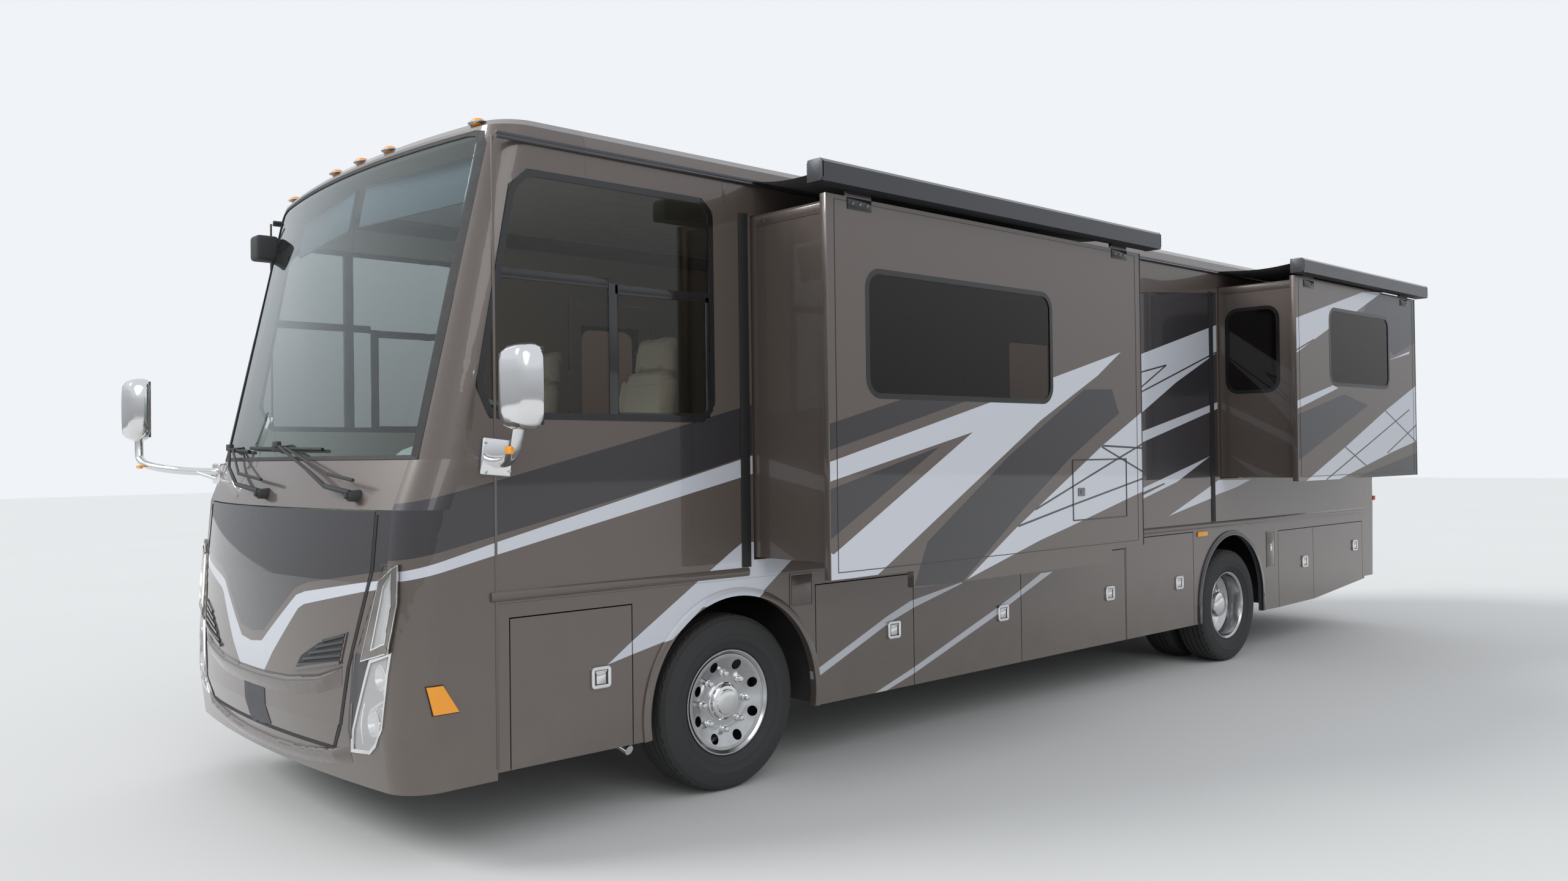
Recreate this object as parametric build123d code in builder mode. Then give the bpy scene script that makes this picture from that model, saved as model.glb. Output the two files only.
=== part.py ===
from build123d import *
import os
from math import cos, radians, sin

os.makedirs("parts", exist_ok=True)

# Lengths are millimetres. X runs forward, Y to the driver's side, Z up.
# Station means distance behind the front axle. Floor level is Z zero.

# Whole vehicle
length = 9980
nose_ahead = 1875
mirror_lead = 115
half_width = 1257
wheelbase = 5090
front_axle_x = length / 2 - nose_ahead - mirror_lead
rear_axle_x = front_axle_x - wheelbase
tail_x = -length / 2
receiver_out = 40

# Heights
skirt_bottom = 343
belt_z = 1045
deck_top = 1100
deck_thick = 80
wall_top = 3030
roof_top = 3150
rail_bottom = 600
rail_top = 820
tail_bottom = 460

# Skins and fits
wall_thick = 45
skirt_thick = 30
roof_thick = 45
cap_thick = 40
hood_thick = 30
glass_thick = 8
glass_recess = 4
shut_gap = 6
glass_gap = 0.5
seam = 0.4
run_gap = 0.5
slide_clearance = 12

# Cap and body seams, by station
cap_seam = -1314
crown_seam = -850
crown_z = 1860
tail_face = front_axle_x - tail_x - receiver_out
tail_seam = tail_face - 310
tail_corner = 110

# Wheels
tyre_radius = 433
tyre_half_width = 132
rim_radius = 260
seat_radius = 247
flange_half = 102
front_rim_y = 1191
rear_rim_y = 1215
dual_spacing = 312
kingpin_y = 960
kingpin_radius = 42
front_arch_radius = 535
rear_arch_half = 500
rear_arch_top = 985


def at(station):
    """Length position of a station behind the front axle."""
    return front_axle_x - station


def block(xs, ys, zs, mode=Mode.ADD):
    """Add or cut a box that spans the given limits."""
    spans = (sorted(xs), sorted(ys), sorted(zs))
    sizes = [high - low for low, high in spans]
    middle = [(high + low) / 2 for low, high in spans]
    with Locations(tuple(middle)):
        Box(*sizes, mode=mode)


def side_prism(points, ys, mode=Mode.ADD, grow=0):
    """Extrude an outline given by station and height, grown or shrunk, between two Y limits."""
    low, high = sorted(ys)
    plane = Plane(origin=(0, high, 0), x_dir=(1, 0, 0), z_dir=(0, -1, 0))
    with BuildSketch(plane) as outline:
        with BuildLine():
            Polyline(*[(at(s), z) for s, z in points], close=True)
        make_face()
        if grow:
            offset(amount=grow, kind=Kind.INTERSECTION)
    extrude(outline.sketch, amount=high - low, mode=mode)


def front_prism(points, xs, mode=Mode.ADD, grow=0):
    """Extrude an outline given by Y and height, grown or shrunk, between two X limits."""
    low, high = sorted(xs)
    plane = Plane(origin=(low, 0, 0), x_dir=(0, 1, 0), z_dir=(1, 0, 0))
    with BuildSketch(plane) as outline:
        with BuildLine():
            Polyline(*points, close=True)
        make_face()
        if grow:
            offset(amount=grow, kind=Kind.INTERSECTION)
    extrude(outline.sketch, amount=high - low, mode=mode)


# Roof edge section, as half width and height, from the wall up
roof_edge = (
    (half_width, wall_top),
    (half_width - 19, wall_top + 60),
    (half_width - 62, wall_top + 95),
    (half_width - 157, roof_top),
)

# Front cap sections: height, nose ahead of the axle, fall of the front arc, half width
cap_rows = (
    (312, 1800, 70, half_width),
    (550, 1868, 110, half_width),
    (800, nose_ahead, 126, half_width),
    (1150, 1855, 132, half_width),
    (1450, 1828, 134, half_width),
    (1656, 1755, 138, half_width),
    (wall_top, 1397, 97, roof_edge[0][0]),
    (roof_edge[1][1], 1375, 94, roof_edge[1][0]),
    (roof_edge[2][1], 1335, 90, roof_edge[2][0]),
    (roof_top, 1245, 84, roof_edge[3][0]),
)
corner_width = 160
corner_depth = 172


def cap_loft(inset, top_drop, back_x, bottom_drop=0):
    """Loft the nose shape, inset all round by the given amount."""
    rows = [list(row) for row in cap_rows]
    rows[-1][0] -= top_drop
    rows[0][0] -= bottom_drop
    if top_drop:
        rows[-2][0] -= top_drop / 2
    sections = []
    for z, nose, fall, half in rows:
        side_y = half - inset
        arc_y = half - corner_width
        arc_x = front_axle_x + nose - fall - inset
        side_x = arc_x - corner_depth + inset
        tip_x = front_axle_x + nose - inset
        with BuildSketch(Plane.XY.offset(z)) as section:
            with BuildLine():
                Line((back_x, -side_y), (back_x, side_y))
                Line((back_x, side_y), (side_x, side_y))
                TangentArc((side_x, side_y), (arc_x, arc_y), tangent=(1, 0))
                ThreePointArc((arc_x, arc_y), (tip_x, 0), (arc_x, -arc_y))
                TangentArc((side_x, -side_y), (arc_x, -arc_y), tangent=(1, 0))
                Line((side_x, -side_y), (back_x, -side_y))
            make_face()
        sections.append(section.sketch.face())
    loft(sections, ruled=True)


cap_back = at(cap_seam) + seam
crown_back = at(crown_seam) + seam
nose_x = front_axle_x + nose_ahead

# Openings of the nose, by Y and height, drawn for one half
screen_half = ((1150, 1656), (1165, 3000), (1135, 3062), (1070, 3075))
hood_half = ((1000, 1450), (1000, 1200), (885, 800), (830, 560), (745, 450))
lamp_outline = (
    (1072, 1222), (1132, 1222), (1140, 900), (1122, 560), (1010, 458), (905, 458), (935, 860),
)
hood_rest_half = 700
hood_rest_zs = (440, 480)
screen_outline = list(screen_half) + [(-y, z) for y, z in reversed(screen_half)]
hood_outline = list(hood_half) + [(-y, z) for y, z in reversed(hood_half)]


# Driver's window and its mirror image, by station and height
cab_window = (
    (-1401, 1954), (-1339, 1822), (-192, 1815), (-118, 1882),
    (-120, 2840), (-189, 2900), (-1150, 2897), (-1234, 2820),
)

# Slide-out rooms: name, side, front and rear station of the face, its foot and head, reach
rear_room_end = tail_seam - 412
slide_rows = (
    ("front", 1, 105, 2850, 1068, 2876, 555),
    ("rear", 1, 4905, rear_room_end, 1410, 2925, 615),
    ("right", -1, 2150, 4900, 1068, 2876, 615),
)
flange = 30
face_thick = 40
room_thick = 40
room_foot_rise = 77
rear_room_rise = 26
room_inboard = 30
drop_front = 585
drop_rear = 355
drop_foot = 985

# Slide-out windows: name, front and rear station, foot and head
slide_windows = {
    "front": (365, 1911, 1921, 2553),
    "rear": (5480, rear_room_end - 565, 2130, 2735),
    "right": (2700, 4300, 1921, 2553),
}
end_window = (1311, 1737, 2072, 2727)
cloth_thick = 4

# Awning case over each room: overhang in front and behind, rise above the face
case_rows = {"front": (97, 126, 30), "rear": (27, 92, 13), "right": (97, 126, 30)}
case_in = 20
case_out = 80
case_tall = 105
case_chamfer = 16
bracket_start = 145
bracket_long = 165
runner_places = (0.15, 0.5, 0.85)
runner_half = 40
stop_thick = 12
stop_lap = 20

# Bay doors: name, side, front and rear station, head, foot at front and at rear
before_arch = wheelbase - 597
behind_arch = wheelbase + 803
last_bay_end = tail_seam - 42
bay_rows = (
    ("bay_left_1", 1, -1253, -624, 984, 343, 343),
    ("bay_left_2", 1, 547, 1322, 975, 343, 343),
    ("bay_left_3", 1, 1322, 2340, 975, 343, 343),
    ("bay_left_4", 1, 2340, 3546, 975, 343, 343),
    ("bay_left_5", 1, 3559, before_arch, 1039, 343, 343),
    ("bay_left_6", 1, behind_arch, 6556, 975, 343, 353),
    ("bay_left_7", 1, 6556, last_bay_end, 975, 353, 440),
    ("bay_right_1", -1, -1253, -624, 984, 343, 343),
    ("bay_right_2", -1, 1400, 2900, 975, 343, 343),
    ("bay_right_3", -1, 2900, before_arch, 975, 343, 343),
    ("bay_right_4", -1, behind_arch, last_bay_end, 975, 343, 440),
)
slope_station = 6400
slope_foot = 456

# Entry door, on the kerb side
door_front = 640
door_rear = 1340
door_foot = 400
door_head = 2720
door_window = (745, 1225, 1640, 2560)
bedroom_window = (5600, 6700, 2130, 2735)

# Frame and running gear
rail_y = 430
rail_width = 80
rail_rear = tail_face - 100
rail_front = -1560
cross_half = 40
cross_reach = 1150
spring_half = 35
spring_long = 700
shackle_half = 30
cross_stations = (
    -1400, -720, 575, 1400, 2340, 3546, wheelbase - 564, wheelbase + 610, 6556, tail_seam + 60,
)


with BuildPart() as nose_outer:
    cap_loft(0, 0, crown_back)
with BuildPart() as nose_inner:
    cap_loft(cap_thick, cap_thick, crown_back - 50, bottom_drop=20)
with BuildPart() as nose_hood_back:
    cap_loft(hood_thick, hood_thick, crown_back - 50)
with BuildPart() as nose_lip_front:
    cap_loft(hood_thick + run_gap, hood_thick, crown_back - 50)
with BuildPart() as nose_glass_front:
    cap_loft(glass_recess, glass_recess, crown_back)
with BuildPart() as nose_glass_back:
    cap_loft(glass_recess + glass_thick, glass_recess + glass_thick, crown_back - 50)

with BuildPart() as hood_rest:
    add(nose_lip_front.part)
    add(nose_inner.part, mode=Mode.SUBTRACT)
    block(
        (front_axle_x + 1600, nose_x), (-hood_rest_half, hood_rest_half), hood_rest_zs, Mode.INTERSECT,
    )

with BuildPart() as front_cap:
    add(nose_outer.part)
    add(nose_inner.part, mode=Mode.SUBTRACT)
    front_prism(screen_outline, (front_axle_x + 900, nose_x + 50), Mode.SUBTRACT)
    front_prism(hood_outline, (front_axle_x + 1400, nose_x + 50), Mode.SUBTRACT)
    for side in (1, -1):
        lamp_side = [(side * y, z) for y, z in lamp_outline]
        front_prism(lamp_side, (front_axle_x + 1450, nose_x + 50), Mode.SUBTRACT)
    side_prism(cab_window, (-half_width - 50, half_width + 50), Mode.SUBTRACT)
    block(
        (crown_back - 60, cap_back), (-half_width - 50, half_width + 50), (0, crown_z), Mode.SUBTRACT,
    )
    add(hood_rest.part)
front_cap.part.label = "front_cap"
export_step(front_cap.part, "parts/front_cap.step")

with BuildPart() as windshield:
    add(nose_glass_front.part)
    add(nose_glass_back.part, mode=Mode.SUBTRACT)
    front_prism(screen_outline, (front_axle_x + 1180, nose_x + 50), Mode.INTERSECT, -glass_gap)
windshield.part.label = "windshield"
export_step(windshield.part, "parts/windshield.step")

with BuildPart() as front_hood:
    add(nose_outer.part)
    add(nose_hood_back.part, mode=Mode.SUBTRACT)
    front_prism(hood_outline, (front_axle_x + 1400, nose_x + 50), Mode.INTERSECT, -shut_gap)
front_hood.part.label = "front_hood"
export_step(front_hood.part, "parts/front_hood.step")

with BuildPart() as headlamps:
    for side in (1, -1):
        lamp_side = [(side * y, z) for y, z in lamp_outline]
        front_prism(lamp_side, (front_axle_x + 1480, nose_x + 50), grow=-glass_gap)
    add(nose_glass_front.part, mode=Mode.INTERSECT)
    add(nose_inner.part, mode=Mode.SUBTRACT)
headlamps.part.label = "headlamps"
export_step(headlamps.part, "parts/headlamps.step")

# Roof, from the front cap to the rear cap
with BuildPart() as roof:
    outer = list(roof_edge) + [(-y, z) for y, z in reversed(roof_edge)]
    front_prism(outer, (at(tail_seam) + seam, at(crown_seam) - seam))
    inner = [(y - wall_thick if y > 0 else y + wall_thick, z - roof_thick) for y, z in outer]
    inner[0] = (inner[0][0], wall_top - 1)
    inner[-1] = (inner[-1][0], wall_top - 1)
    front_prism(inner, (at(tail_seam), at(cap_seam)), Mode.SUBTRACT)
roof.part.label = "roof"
export_step(roof.part, "parts/roof.step")

# Rear cap
tail_rows = (
    (tail_bottom, half_width - 10, 0),
    (1100, half_width, 0),
    (wall_top, half_width, 20),
    (roof_edge[1][1], roof_edge[1][0], 45),
    (roof_edge[2][1], roof_edge[2][0], 85),
    (roof_top, roof_edge[3][0], 170),
)


def tail_loft(inset, top_drop, front_x):
    """Loft the tail shape, inset all round by the given amount."""
    rows = [list(row) for row in tail_rows]
    rows[-1][0] -= top_drop
    if top_drop:
        rows[-2][0] -= top_drop / 2
    sections = []
    for z, half, lean in rows:
        side_y = half - inset
        face_x = at(tail_face) + lean + inset
        arc_y = half - tail_corner
        arc_x = at(tail_face) + lean + tail_corner
        with BuildSketch(Plane.XY.offset(z)) as section:
            with BuildLine():
                Line((front_x, -side_y), (front_x, side_y))
                Line((front_x, side_y), (arc_x, side_y))
                TangentArc((arc_x, side_y), (face_x, arc_y), tangent=(-1, 0))
                Line((face_x, arc_y), (face_x, -arc_y))
                TangentArc((arc_x, -side_y), (face_x, -arc_y), tangent=(-1, 0))
                Line((arc_x, -side_y), (front_x, -side_y))
            make_face()
        sections.append(section.sketch.face())
    loft(sections, ruled=True)


tail_lamp_outline = ((1000, 1000), (1130, 1000), (1130, 1560), (1000, 1560))
with BuildPart() as tail_outer:
    tail_loft(0, 0, at(tail_seam) - seam)
with BuildPart() as tail_inner:
    tail_loft(cap_thick, cap_thick, at(tail_seam) + 20)

with BuildPart() as rear_cap:
    add(tail_outer.part)
    add(tail_inner.part, mode=Mode.SUBTRACT)
    for side in (1, -1):
        lamp = [(side * y, z) for y, z in tail_lamp_outline]
        front_prism(lamp, (at(tail_face) - 20, at(tail_face) + 60), Mode.SUBTRACT)
rear_cap.part.label = "rear_cap"
export_step(rear_cap.part, "parts/rear_cap.step")

with BuildPart() as tail_lamps:
    for side in (1, -1):
        lamp = [(side * y, z) for y, z in tail_lamp_outline]
        front_prism(lamp, (at(tail_face) - 20, at(tail_face) + 60), grow=-glass_gap)
    add(tail_outer.part, mode=Mode.INTERSECT)
    add(tail_inner.part, mode=Mode.SUBTRACT)
tail_lamps.part.label = "tail_lamps"
export_step(tail_lamps.part, "parts/tail_lamps.step")


def slide_box(row, grow):
    """Limits of a slide-out room's box section, grown on every side."""
    name, side, front, rear, foot, head, reach = row
    rise = rear_room_rise if name == "rear" else room_foot_rise
    return (
        (at(rear - flange) - grow, at(front + flange) + grow),
        (foot + rise - grow, head - flange + grow),
    )


# Side walls above the belt
for side, name in ((1, "left_wall"), (-1, "right_wall")):
    ys = (side * (half_width - wall_thick), side * half_width)
    cut = (side * (half_width - 80), side * (half_width + 20))
    with BuildPart() as wall:
        block((at(tail_seam) + seam, at(cap_seam) - seam), ys, (belt_z + seam, wall_top - seam))
        side_prism(cab_window, cut, Mode.SUBTRACT)
        block((crown_back - 2 * seam, at(cap_seam)), cut, (crown_z - seam, wall_top), Mode.SUBTRACT)
        for row in slide_rows:
            if row[1] == side:
                xs, zs = slide_box(row, slide_clearance)
                block(xs, cut, zs, Mode.SUBTRACT)
                for part_way in runner_places:
                    x = xs[0] + (xs[1] - xs[0]) * part_way
                    runner_top = zs[0] + slide_clearance - run_gap
                    block((x - runner_half, x + runner_half), ys, (zs[0] - seam, runner_top))
        if side < 0:
            block((at(door_rear), at(door_front)), cut, (0, door_head), Mode.SUBTRACT)
            stop_in = half_width - wall_thick - stop_thick
            stop_zs = (deck_top + seam, door_head)
            block((at(door_rear + stop_lap), at(door_rear)), (-stop_in, ys[0]), stop_zs)
            block((at(door_rear), at(door_rear - stop_lap)), (-stop_in, ys[0] + run_gap), stop_zs)
            w = bedroom_window
            block((at(w[1]), at(w[0])), cut, (w[2], w[3]), Mode.SUBTRACT)
    wall.part.label = name
    export_step(wall.part, "parts/" + name + ".step")

# Skirts: what stays fixed below the belt once the doors and arches are cut out
for side, name in ((1, "left_skirt"), (-1, "right_skirt")):
    ys = (side * (half_width - skirt_thick), side * half_width)
    cut = (side * (half_width - 80), side * (half_width + 20))
    with BuildPart() as skirt:
        side_prism(
            (
                (cap_seam + seam, skirt_bottom), (slope_station, skirt_bottom),
                (tail_seam - seam, slope_foot - 12), (tail_seam - seam, belt_z - seam),
                (cap_seam + seam, belt_z - seam),
            ),
            ys,
        )
        for row in bay_rows:
            if row[1] == side:
                block(
                    (at(row[3]) - shut_gap / 2, at(row[2]) + shut_gap / 2), cut, (0, row[4]), Mode.SUBTRACT,
                )
        with Locations((front_axle_x, side * half_width, tyre_radius)):
            Cylinder(front_arch_radius, 200, rotation=(90, 0, 0), mode=Mode.SUBTRACT)
        arch_mid = rear_arch_top - rear_arch_half
        with Locations((rear_axle_x, side * half_width, arch_mid)):
            Cylinder(rear_arch_half, 200, rotation=(90, 0, 0), mode=Mode.SUBTRACT)
        block(
            (rear_axle_x - rear_arch_half, rear_axle_x + rear_arch_half), cut, (0, arch_mid), Mode.SUBTRACT,
        )
        if side < 0:
            block((at(door_rear), at(door_front)), cut, (0, belt_z + 20), Mode.SUBTRACT)
    skirt.part.label = name
    export_step(skirt.part, "parts/" + name + ".step")

# Bay doors
for name, side, front, rear, head, foot_front, foot_rear in bay_rows:
    with BuildPart() as bay:
        side_prism(
            (
                (front + shut_gap / 2, foot_front), (rear - shut_gap / 2, foot_rear),
                (rear - shut_gap / 2, head - shut_gap), (front + shut_gap / 2, head - shut_gap),
            ),
            (side * (half_width - skirt_thick), side * half_width),
        )
    bay.part.label = name
    export_step(bay.part, "parts/" + name + ".step")

# Slide-out rooms with their awning cases, and their glass
for row in slide_rows:
    name, side, front, rear, foot, head, reach = row
    face_y = half_width + reach
    xs, zs = slide_box(row, 0)
    inner_y = half_width - wall_thick - room_inboard
    window = slide_windows[name]
    with BuildPart() as room:
        block(xs, (side * inner_y, side * (face_y - face_thick)), zs)
        block(
            (xs[0] + room_thick, xs[1] - room_thick),
            (side * (inner_y - 10), side * (face_y - face_thick)),
            (zs[0] + room_thick, zs[1] - room_thick), Mode.SUBTRACT,
        )
        block((at(rear), at(front)), (side * (face_y - face_thick), side * face_y), (foot, head))
        if name != "rear":
            block(
                (at(rear - drop_rear), at(front + drop_front)),
                (side * (face_y - face_thick), side * face_y), (drop_foot, foot),
            )
        block(
            (at(window[1]), at(window[0])), (side * (face_y - 90), side * (face_y + 10)),
            (window[2], window[3]), Mode.SUBTRACT,
        )
        if name == "rear":
            w = end_window
            block((xs[1] - 90, xs[1] + 10), (w[0], w[1]), (w[2], w[3]), Mode.SUBTRACT)
        block(
            (at(rear - flange), at(front + flange)),
            (side * (half_width + seam), side * (face_y - face_thick)), (zs[1], zs[1] + cloth_thick),
        )
        lead, lag, rise = case_rows[name]
        for near in (front + bracket_start, rear - bracket_start - bracket_long):
            block(
                (at(near + bracket_long), at(near)),
                (side * (face_y - case_in), side * face_y), (head, head + rise),
            )
        case_outline = (
            (side * (face_y - case_in), head + rise), (side * (face_y + case_out), head + rise),
            (side * (face_y + case_out), head + rise + case_tall - case_chamfer),
            (side * (face_y + case_out - case_chamfer), head + rise + case_tall),
            (side * (face_y - case_in), head + rise + case_tall),
        )
        front_prism(case_outline, (at(rear + lag), at(front - lead)))
    room.part.label = "slide_" + name
    export_step(room.part, "parts/slide_" + name + ".step")
    with BuildPart() as pane:
        block(
            (at(window[1]) + glass_gap, at(window[0]) - glass_gap),
            (side * (face_y - glass_recess - glass_thick), side * (face_y - glass_recess)),
            (window[2] + glass_gap, window[3] - glass_gap),
        )
        if name == "rear":
            w = end_window
            block(
                (xs[1] - glass_recess - glass_thick, xs[1] - glass_recess),
                (w[0] + glass_gap, w[1] - glass_gap), (w[2] + glass_gap, w[3] - glass_gap),
            )
    pane.part.label = "slide_glass_" + name
    export_step(pane.part, "parts/slide_glass_" + name + ".step")

# Entry door, its pane and the steps behind it
door_ys = (-half_width + wall_thick, -half_width)
with BuildPart() as entry_door:
    block(
        (at(door_rear - shut_gap), at(door_front + shut_gap)), door_ys, (door_foot, door_head - shut_gap),
    )
    w = door_window
    block((at(w[1]), at(w[0])), (-half_width + 80, -half_width - 20), (w[2], w[3]), Mode.SUBTRACT)
entry_door.part.label = "entry_door"
export_step(entry_door.part, "parts/entry_door.step")

pane_ys = (-half_width + glass_recess + glass_thick, -half_width + glass_recess)
with BuildPart() as entry_glass:
    w = door_window
    block(
        (at(w[1]) + glass_gap, at(w[0]) - glass_gap), pane_ys, (w[2] + glass_gap, w[3] - glass_gap),
    )
entry_glass.part.label = "entry_glass"
export_step(entry_glass.part, "parts/entry_glass.step")

step_in = 560
tread = 35
with BuildPart() as entry_step:
    block((at(door_rear - 20), at(door_front + 20)), (-half_width + 60, -step_in), (450, 450 + tread))
    block((at(door_rear - 20), at(door_front + 20)), (-1000, -step_in), (450, 760))
    block((at(door_rear - 20), at(door_front + 20)), (-790, -step_in), (450, deck_top - 10))
entry_step.part.label = "entry_step"
export_step(entry_step.part, "parts/entry_step.step")

# Cab and bedroom glass that stays put
with BuildPart() as side_windows:
    for side in (1, -1):
        pane = (side * (half_width - glass_recess), side * (half_width - glass_recess - glass_thick))
        side_prism(cab_window, pane, grow=-glass_gap)
    w = bedroom_window
    block(
        (at(w[1]) + glass_gap, at(w[0]) - glass_gap), pane_ys, (w[2] + glass_gap, w[3] - glass_gap),
    )
side_windows.part.label = "side_windows"
export_step(side_windows.part, "parts/side_windows.step")

# Floor of the cabin
deck_half = half_width - wall_thick - seam
deck_front = -1450
with BuildPart() as floor_deck:
    block(
        (at(tail_seam - 40), at(deck_front)), (-deck_half, deck_half), (deck_top - deck_thick, deck_top),
    )
    block((at(door_rear), at(door_front)), (-step_in, -half_width), (0, deck_top + 10), Mode.SUBTRACT)
floor_deck.part.label = "floor_deck"
export_step(floor_deck.part, "parts/floor_deck.step")

# Frame rails, cross members and the towing receiver
receiver_bore = 50.8
receiver_wall = 6.35
pin_diameter = 16
pin_inset = 70
receiver_z = 400
receiver_length = 260
receiver_end = 30
with BuildPart() as chassis_frame:
    for side in (1, -1):
        block(
            (at(rail_rear), at(rail_front)),
            (side * (rail_y - rail_width / 2), side * (rail_y + rail_width / 2)), (rail_bottom, rail_top),
        )
    for station in cross_stations:
        xs = (at(station) - cross_half, at(station) + cross_half)
        block(xs, (-cross_reach, cross_reach), (rail_top, deck_top - deck_thick))
        block(xs, (-rail_y, rail_y), (rail_top - 2 * cross_half, rail_top))
    tube = receiver_bore / 2 + receiver_wall
    block((tail_x + 120, tail_x + 200), (-rail_y, rail_y), (receiver_z - 60, receiver_z + 60))
    for side in (1, -1):
        block(
            (tail_x + 140, tail_x + 200),
            (side * (rail_y - rail_width / 2), side * (rail_y + rail_width / 2)),
            (receiver_z - 60, rail_bottom + 10),
        )
    block((tail_x, tail_x + receiver_length), (-tube, tube), (receiver_z - tube, receiver_z + tube))
    bore = receiver_bore / 2
    block(
        (tail_x - 1, tail_x + receiver_length - receiver_end),
        (-bore, bore), (receiver_z - bore, receiver_z + bore), Mode.SUBTRACT,
    )
    with Locations((tail_x + pin_inset, 0, receiver_z)):
        Cylinder(pin_diameter / 2, 4 * tube, rotation=(90, 0, 0), mode=Mode.SUBTRACT)
chassis_frame.part.label = "chassis_frame"
export_step(chassis_frame.part, "parts/chassis_frame.step")

# Luggage trays behind the bay doors
tray_gap = 10
tray_rise = 9
tray_in = 500
tray_out = half_width - skirt_thick - run_gap
tray_top = rail_top - seam
tray_wall = 8
with BuildPart() as bay_trays:
    for name, side, front, rear, head, foot_front, foot_rear in bay_rows:
        floor = max(foot_front, foot_rear) + tray_rise
        xs = (at(rear - tray_gap), at(front + tray_gap))
        block(xs, (side * tray_in, side * tray_out), (floor, tray_top))
        block(
            (xs[0] + tray_wall, xs[1] - tray_wall),
            (side * (tray_in + tray_wall), side * (tray_out + 10)),
            (floor + tray_wall, tray_top - tray_wall), Mode.SUBTRACT,
        )
bay_trays.part.label = "bay_trays"
export_step(bay_trays.part, "parts/bay_trays.step")

# Engine, one plain block under the cab floor
with BuildPart() as engine_block:
    block((front_axle_x - 420, front_axle_x + 620), (-330, 330), (620, 990))
    mount_y = rail_y - rail_width / 2 - seam
    block((front_axle_x + 60, front_axle_x + 180), (-mount_y, mount_y), (700, 760))
engine_block.part.label = "engine_block"
export_step(engine_block.part, "parts/engine_block.step")


def turned(points, x, side, centre_y):
    """Revolve an outline of axial offset and radius about a wheel's own axis."""
    with BuildSketch(Plane(origin=(x, 0, tyre_radius), x_dir=(1, 0, 0), z_dir=(0, 0, 1))) as outline:
        with BuildLine():
            Polyline(*[(radius, side * (centre_y + along)) for along, radius in points], close=True)
        make_face()
    revolve(outline.sketch, axis=Axis((x, 0, tyre_radius), (0, 1, 0)))


tyre_outline = (
    (-86, seat_radius + run_gap), (-92, rim_radius + 6), (-122, 310), (-tyre_half_width, 345),
    (-127, 392), (-108, 426), (-96, tyre_radius), (96, tyre_radius), (108, 426), (127, 392),
    (tyre_half_width, 345), (122, 310), (92, rim_radius + 6), (86, seat_radius + run_gap),
)
barrel = (
    (-flange_half, rim_radius), (-92, rim_radius), (-90, seat_radius), (90, seat_radius),
    (92, rim_radius), (flange_half, rim_radius), (flange_half, 236), (-flange_half, 236),
)
hub_radius = 88
disc_edge = 238
front_disc = ((58, 0), (58, 115), (96, disc_edge), (88, disc_edge), (50, 120), (50, 0))
front_hub = ((56, 0), (56, hub_radius), (88, hub_radius - 12), (98, 40), (98, 0))
rear_disc = ((-60, 0), (-60, 175), (-40, disc_edge), (-28, disc_edge), (-48, 172), (-48, 0))
rear_hub = ((-50, 0), (-50, hub_radius), (30, hub_radius - 8), (52, 60), (52, 0))
twin_disc = (
    (-dual_spacing + 28, 200), (-dual_spacing + 28, disc_edge), (-60, 200), (-60, 160),
)

wheel_rows = (
    ("front_left", 1, front_axle_x), ("front_right", -1, front_axle_x),
    ("rear_left", 1, rear_axle_x), ("rear_right", -1, rear_axle_x),
)
for name, side, x in wheel_rows:
    front = x == front_axle_x
    middle = (front_rim_y if front else rear_rim_y) - flange_half
    with BuildPart() as rim:
        turned(barrel, x, side, middle)
        turned(front_disc if front else rear_disc, x, side, middle)
        turned(front_hub if front else rear_hub, x, side, middle)
        if not front:
            turned(barrel, x, side, middle - dual_spacing)
            turned(twin_disc, x, side, middle)
    rim.part.label = "rim_" + name
    export_step(rim.part, "parts/rim_" + name + ".step")
    with BuildPart() as tyre:
        turned(tyre_outline, x, side, middle)
        if not front:
            turned(tyre_outline, x, side, middle - dual_spacing)
    tyre.part.label = "tyre_" + name
    export_step(tyre.part, "parts/tyre_" + name + ".step")

# Steering knuckles with their drums
for side, name in ((1, "knuckle_left"), (-1, "knuckle_right")):
    with BuildPart() as knuckle:
        with Locations((front_axle_x, side * kingpin_y, tyre_radius)):
            Cylinder(kingpin_radius, 230)
        spindle_end = front_rim_y - flange_half + 50 - run_gap
        with Locations((front_axle_x, side * (kingpin_y + spindle_end) / 2, tyre_radius)):
            Cylinder(50, spindle_end - kingpin_y, rotation=(90, 0, 0))
        with Locations((front_axle_x, side * (kingpin_y + 85), tyre_radius)):
            Cylinder(195, 50, rotation=(90, 0, 0))
    knuckle.part.label = name
    export_step(knuckle.part, "parts/" + name + ".step")

# Front beam axle with its springs
beam_end = kingpin_y - kingpin_radius - run_gap


def springs(axle_x, seat, foot):
    """Add a leaf spring with its seat and two shackles on each side of an axle."""
    leaf = 50
    for side in (1, -1):
        ys = (side * (rail_y - spring_half), side * (rail_y + spring_half))
        block((axle_x - 45, axle_x + 45), ys, (seat, foot))
        block((axle_x - spring_long, axle_x + spring_long), ys, (foot, foot + leaf))
        for x in (axle_x - spring_long + shackle_half, axle_x + spring_long - shackle_half):
            block((x - shackle_half, x + shackle_half), ys, (foot + leaf, rail_bottom - seam))


with BuildPart() as front_axle:
    block((front_axle_x - 45, front_axle_x + 45), (-beam_end, beam_end), (330, 420))
    springs(front_axle_x, 420, 470)
front_axle.part.label = "front_axle"
export_step(front_axle.part, "parts/front_axle.step")

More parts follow.
